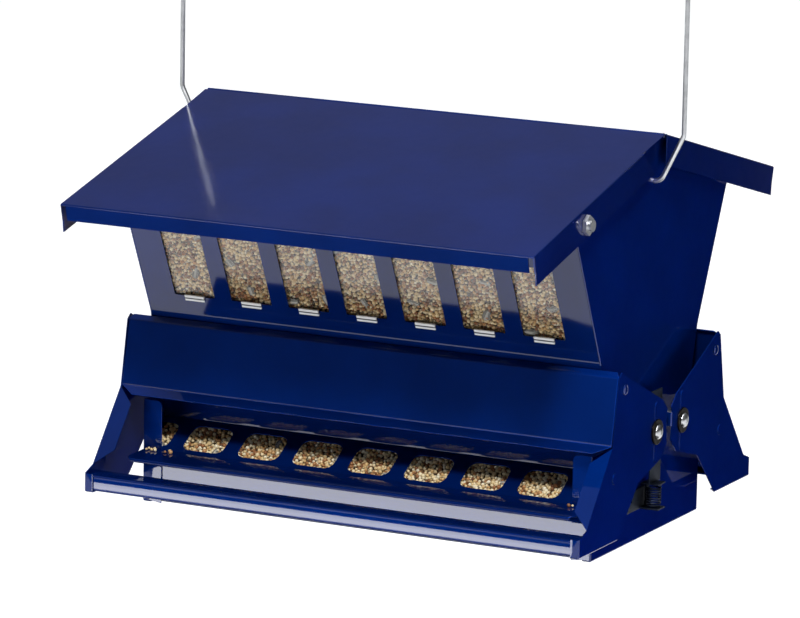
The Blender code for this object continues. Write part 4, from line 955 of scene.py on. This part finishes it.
class FEEDER_OT_stage(bpy.types.Operator):
    """Set the camera, a pale floor, the room's light and the soft boxes"""

    bl_idname = "feeder.stage"
    bl_label = "Stage"

    def execute(self, context):
        settings = context.scene.feeder_stage
        self.make_camera(context, settings)
        self.make_floor(settings)
        self.make_room(context, settings)
        self.make_lights()
        self.make_cards(settings)
        context.scene.view_settings.view_transform = "Standard"
        return {"FINISHED"}

    def make_camera(self, context, settings):
        turn, lift, roll = CAMERA_TURN, CAMERA_LIFT, CAMERA_ROLL
        level = Vector((math.cos(turn), math.sin(turn), 0))
        back = Vector((math.sin(turn) * math.cos(lift), -math.cos(turn) * math.cos(lift), math.sin(lift)))
        rise = back.cross(level)
        right = level * math.cos(roll) + rise * math.sin(roll)
        up = rise * math.cos(roll) - level * math.sin(roll)
        aim = Vector((0, 0, AIM_HEIGHT)) - right * AIM_SIDE + up * AIM_RISE
        data = bpy.data.cameras.new("camera")
        data.sensor_width = SENSOR_WIDTH
        data.lens = settings.lens
        data.clip_end = FAR_CLIP
        camera = link("camera", data)
        camera.matrix_world = Matrix((right, up, back)).transposed().to_4x4()
        camera.location = aim + back * settings.distance
        context.scene.camera = camera

    def make_floor(self, settings):
        mesh = bpy.data.meshes.new("floor")
        corners = [(FLOOR_REACH * x, FLOOR_REACH * y, -settings.floor_drop) for x, y in CORNERS]
        mesh.from_pydata(corners, [], [(0, 1, 2, 3)])
        paper = Finish("pale_paper")
        fibre = paper.noise(40.0, detail=3.0)
        rays = paper.nodes.new("ShaderNodeLightPath").outputs
        seen = Term(paper, rays["Is Camera Ray"]) + Term(paper, rays["Is Glossy Ray"])
        seen = (seen + Term(paper, rays["Is Transmission Ray"])).clamped(0.0, 1.0)
        glow = paper.blend(seen, (0.0, 0.0, 0.0), FLOOR_GLOW)
        paper.set(Base_Color=paper.blend(fibre, (0.9, 0.9, 0.895), (0.93, 0.93, 0.925)), Roughness=0.9,
                  Emission_Color=glow, Emission_Strength=1.0)
        link("floor", mesh, paper.material)

    def make_room(self, context, settings):
        """Dim at eye level, pale toward the backdrop and bright overhead."""
        world = bpy.data.worlds.new("room")
        room = Shading(world, "Generated", "Background")
        toward_x, toward_y, up = room.split()
        heading_x, heading_y, heading_up = BACKDROP_HEADING
        facing = toward_y * heading_y + toward_x * heading_x + up * heading_up
        dome = up.ramp(*ZENITH_RISE) * settings.zenith + up.ramp(*SKY_RISE) * settings.sky
        wall = facing.ramp(*BACKDROP_REACH) * settings.backdrop
        room.feed(room.shader.inputs["Color"], ROOM_TINT)
        room.feed(room.shader.inputs["Strength"], dome + wall + settings.horizon)
        context.scene.world = world

    def make_lights(self):
        for name, place, aim, (width, height), power in LAMPS:
            data = bpy.data.lights.new(name, "AREA")
            data.shape = "RECTANGLE"
            data.size = width
            data.size_y = height
            data.energy = power
            lamp = link(name, data)
            heading = Vector(aim) - Vector(place)
            lamp.matrix_world = heading.to_track_quat("-Z", "Y").to_matrix().to_4x4()
            lamp.location = place
            lamp.visible_camera = False

    def make_cards(self, settings):
        """Black cards that keep the pale floor out of the mirroring sides, as in a studio."""
        cloth = Finish("black_cloth")
        weave = cloth.noise(600.0)
        cloth.set(Base_Color=cloth.blend(weave, (0.004, 0.004, 0.004), (0.008, 0.008, 0.008)),
                  Roughness=0.95, Specular_IOR_Level=0.0)
        low = CLOTH_LIFT - settings.floor_drop
        along_x, along_y, upright = Vector((1, 0, 0)), Vector((0, 1, 0)), Vector((0, 0, 1))
        cards = [("end_card", END_CARD_CENTRE, END_CARD_SIZE, END_CARD_HEADING, upright)]
        cards += [(name, (*centre, low), size, along_x, along_y) for name, centre, size in CLOTHS]
        for name, centre, (width, height), across, over in cards:
            corners = [Vector(centre) + across * width / 2 * i + over * height / 2 * j
                       for i, j in CORNERS]
            mesh = bpy.data.meshes.new(name)
            mesh.from_pydata(corners, [], [(0, 1, 2, 3)])
            card = link(name, mesh, cloth.material)
            card.visible_camera = False
            card.visible_diffuse = False
            card.visible_shadow = False


OPERATORS = (
    FEEDER_OT_painted_sheets, FEEDER_OT_fittings, FEEDER_OT_panes, FEEDER_OT_packed_seed,
    FEEDER_OT_loose_grain, FEEDER_OT_stage,
)


class FEEDER_PT_panel(bpy.types.Panel):
    """Sidebar panel with the feeder's sizes and its makers"""

    bl_idname = "FEEDER_PT_panel"
    bl_label = "Bird feeder"
    bl_space_type = "VIEW_3D"
    bl_region_type = "UI"
    bl_category = "Feeder"

    def draw(self, context):
        for name in GROUPS:
            group = getattr(context.scene, name)
            box = self.layout.box()
            for label in group.__annotations__:
                box.prop(group, label)
        for operator in OPERATORS:
            self.layout.operator(operator.bl_idname)


GROUPS = {
    "feeder_enamel": EnamelSizes,
    "feeder_metal": MetalSizes,
    "feeder_grain": GrainSizes,
    "feeder_stage": StageSizes,
}


def register():
    for group in GROUPS.values():
        bpy.utils.register_class(group)
    for name, group in GROUPS.items():
        setattr(bpy.types.Scene, name, PointerProperty(type=group))
    for operator in OPERATORS:
        bpy.utils.register_class(operator)
    bpy.utils.register_class(FEEDER_PT_panel)


def unregister():
    bpy.utils.unregister_class(FEEDER_PT_panel)
    for operator in reversed(OPERATORS):
        bpy.utils.unregister_class(operator)
    for name in GROUPS:
        delattr(bpy.types.Scene, name)
    for group in GROUPS.values():
        bpy.utils.unregister_class(group)


def main():
    """Register the add-on's classes, make every piece and note the model's two boxes."""
    register()
    for operator in OPERATORS:
        area, action = operator.bl_idname.split(".")
        getattr(getattr(bpy.ops, area), action)()


if __name__ == "__main__":
    main()
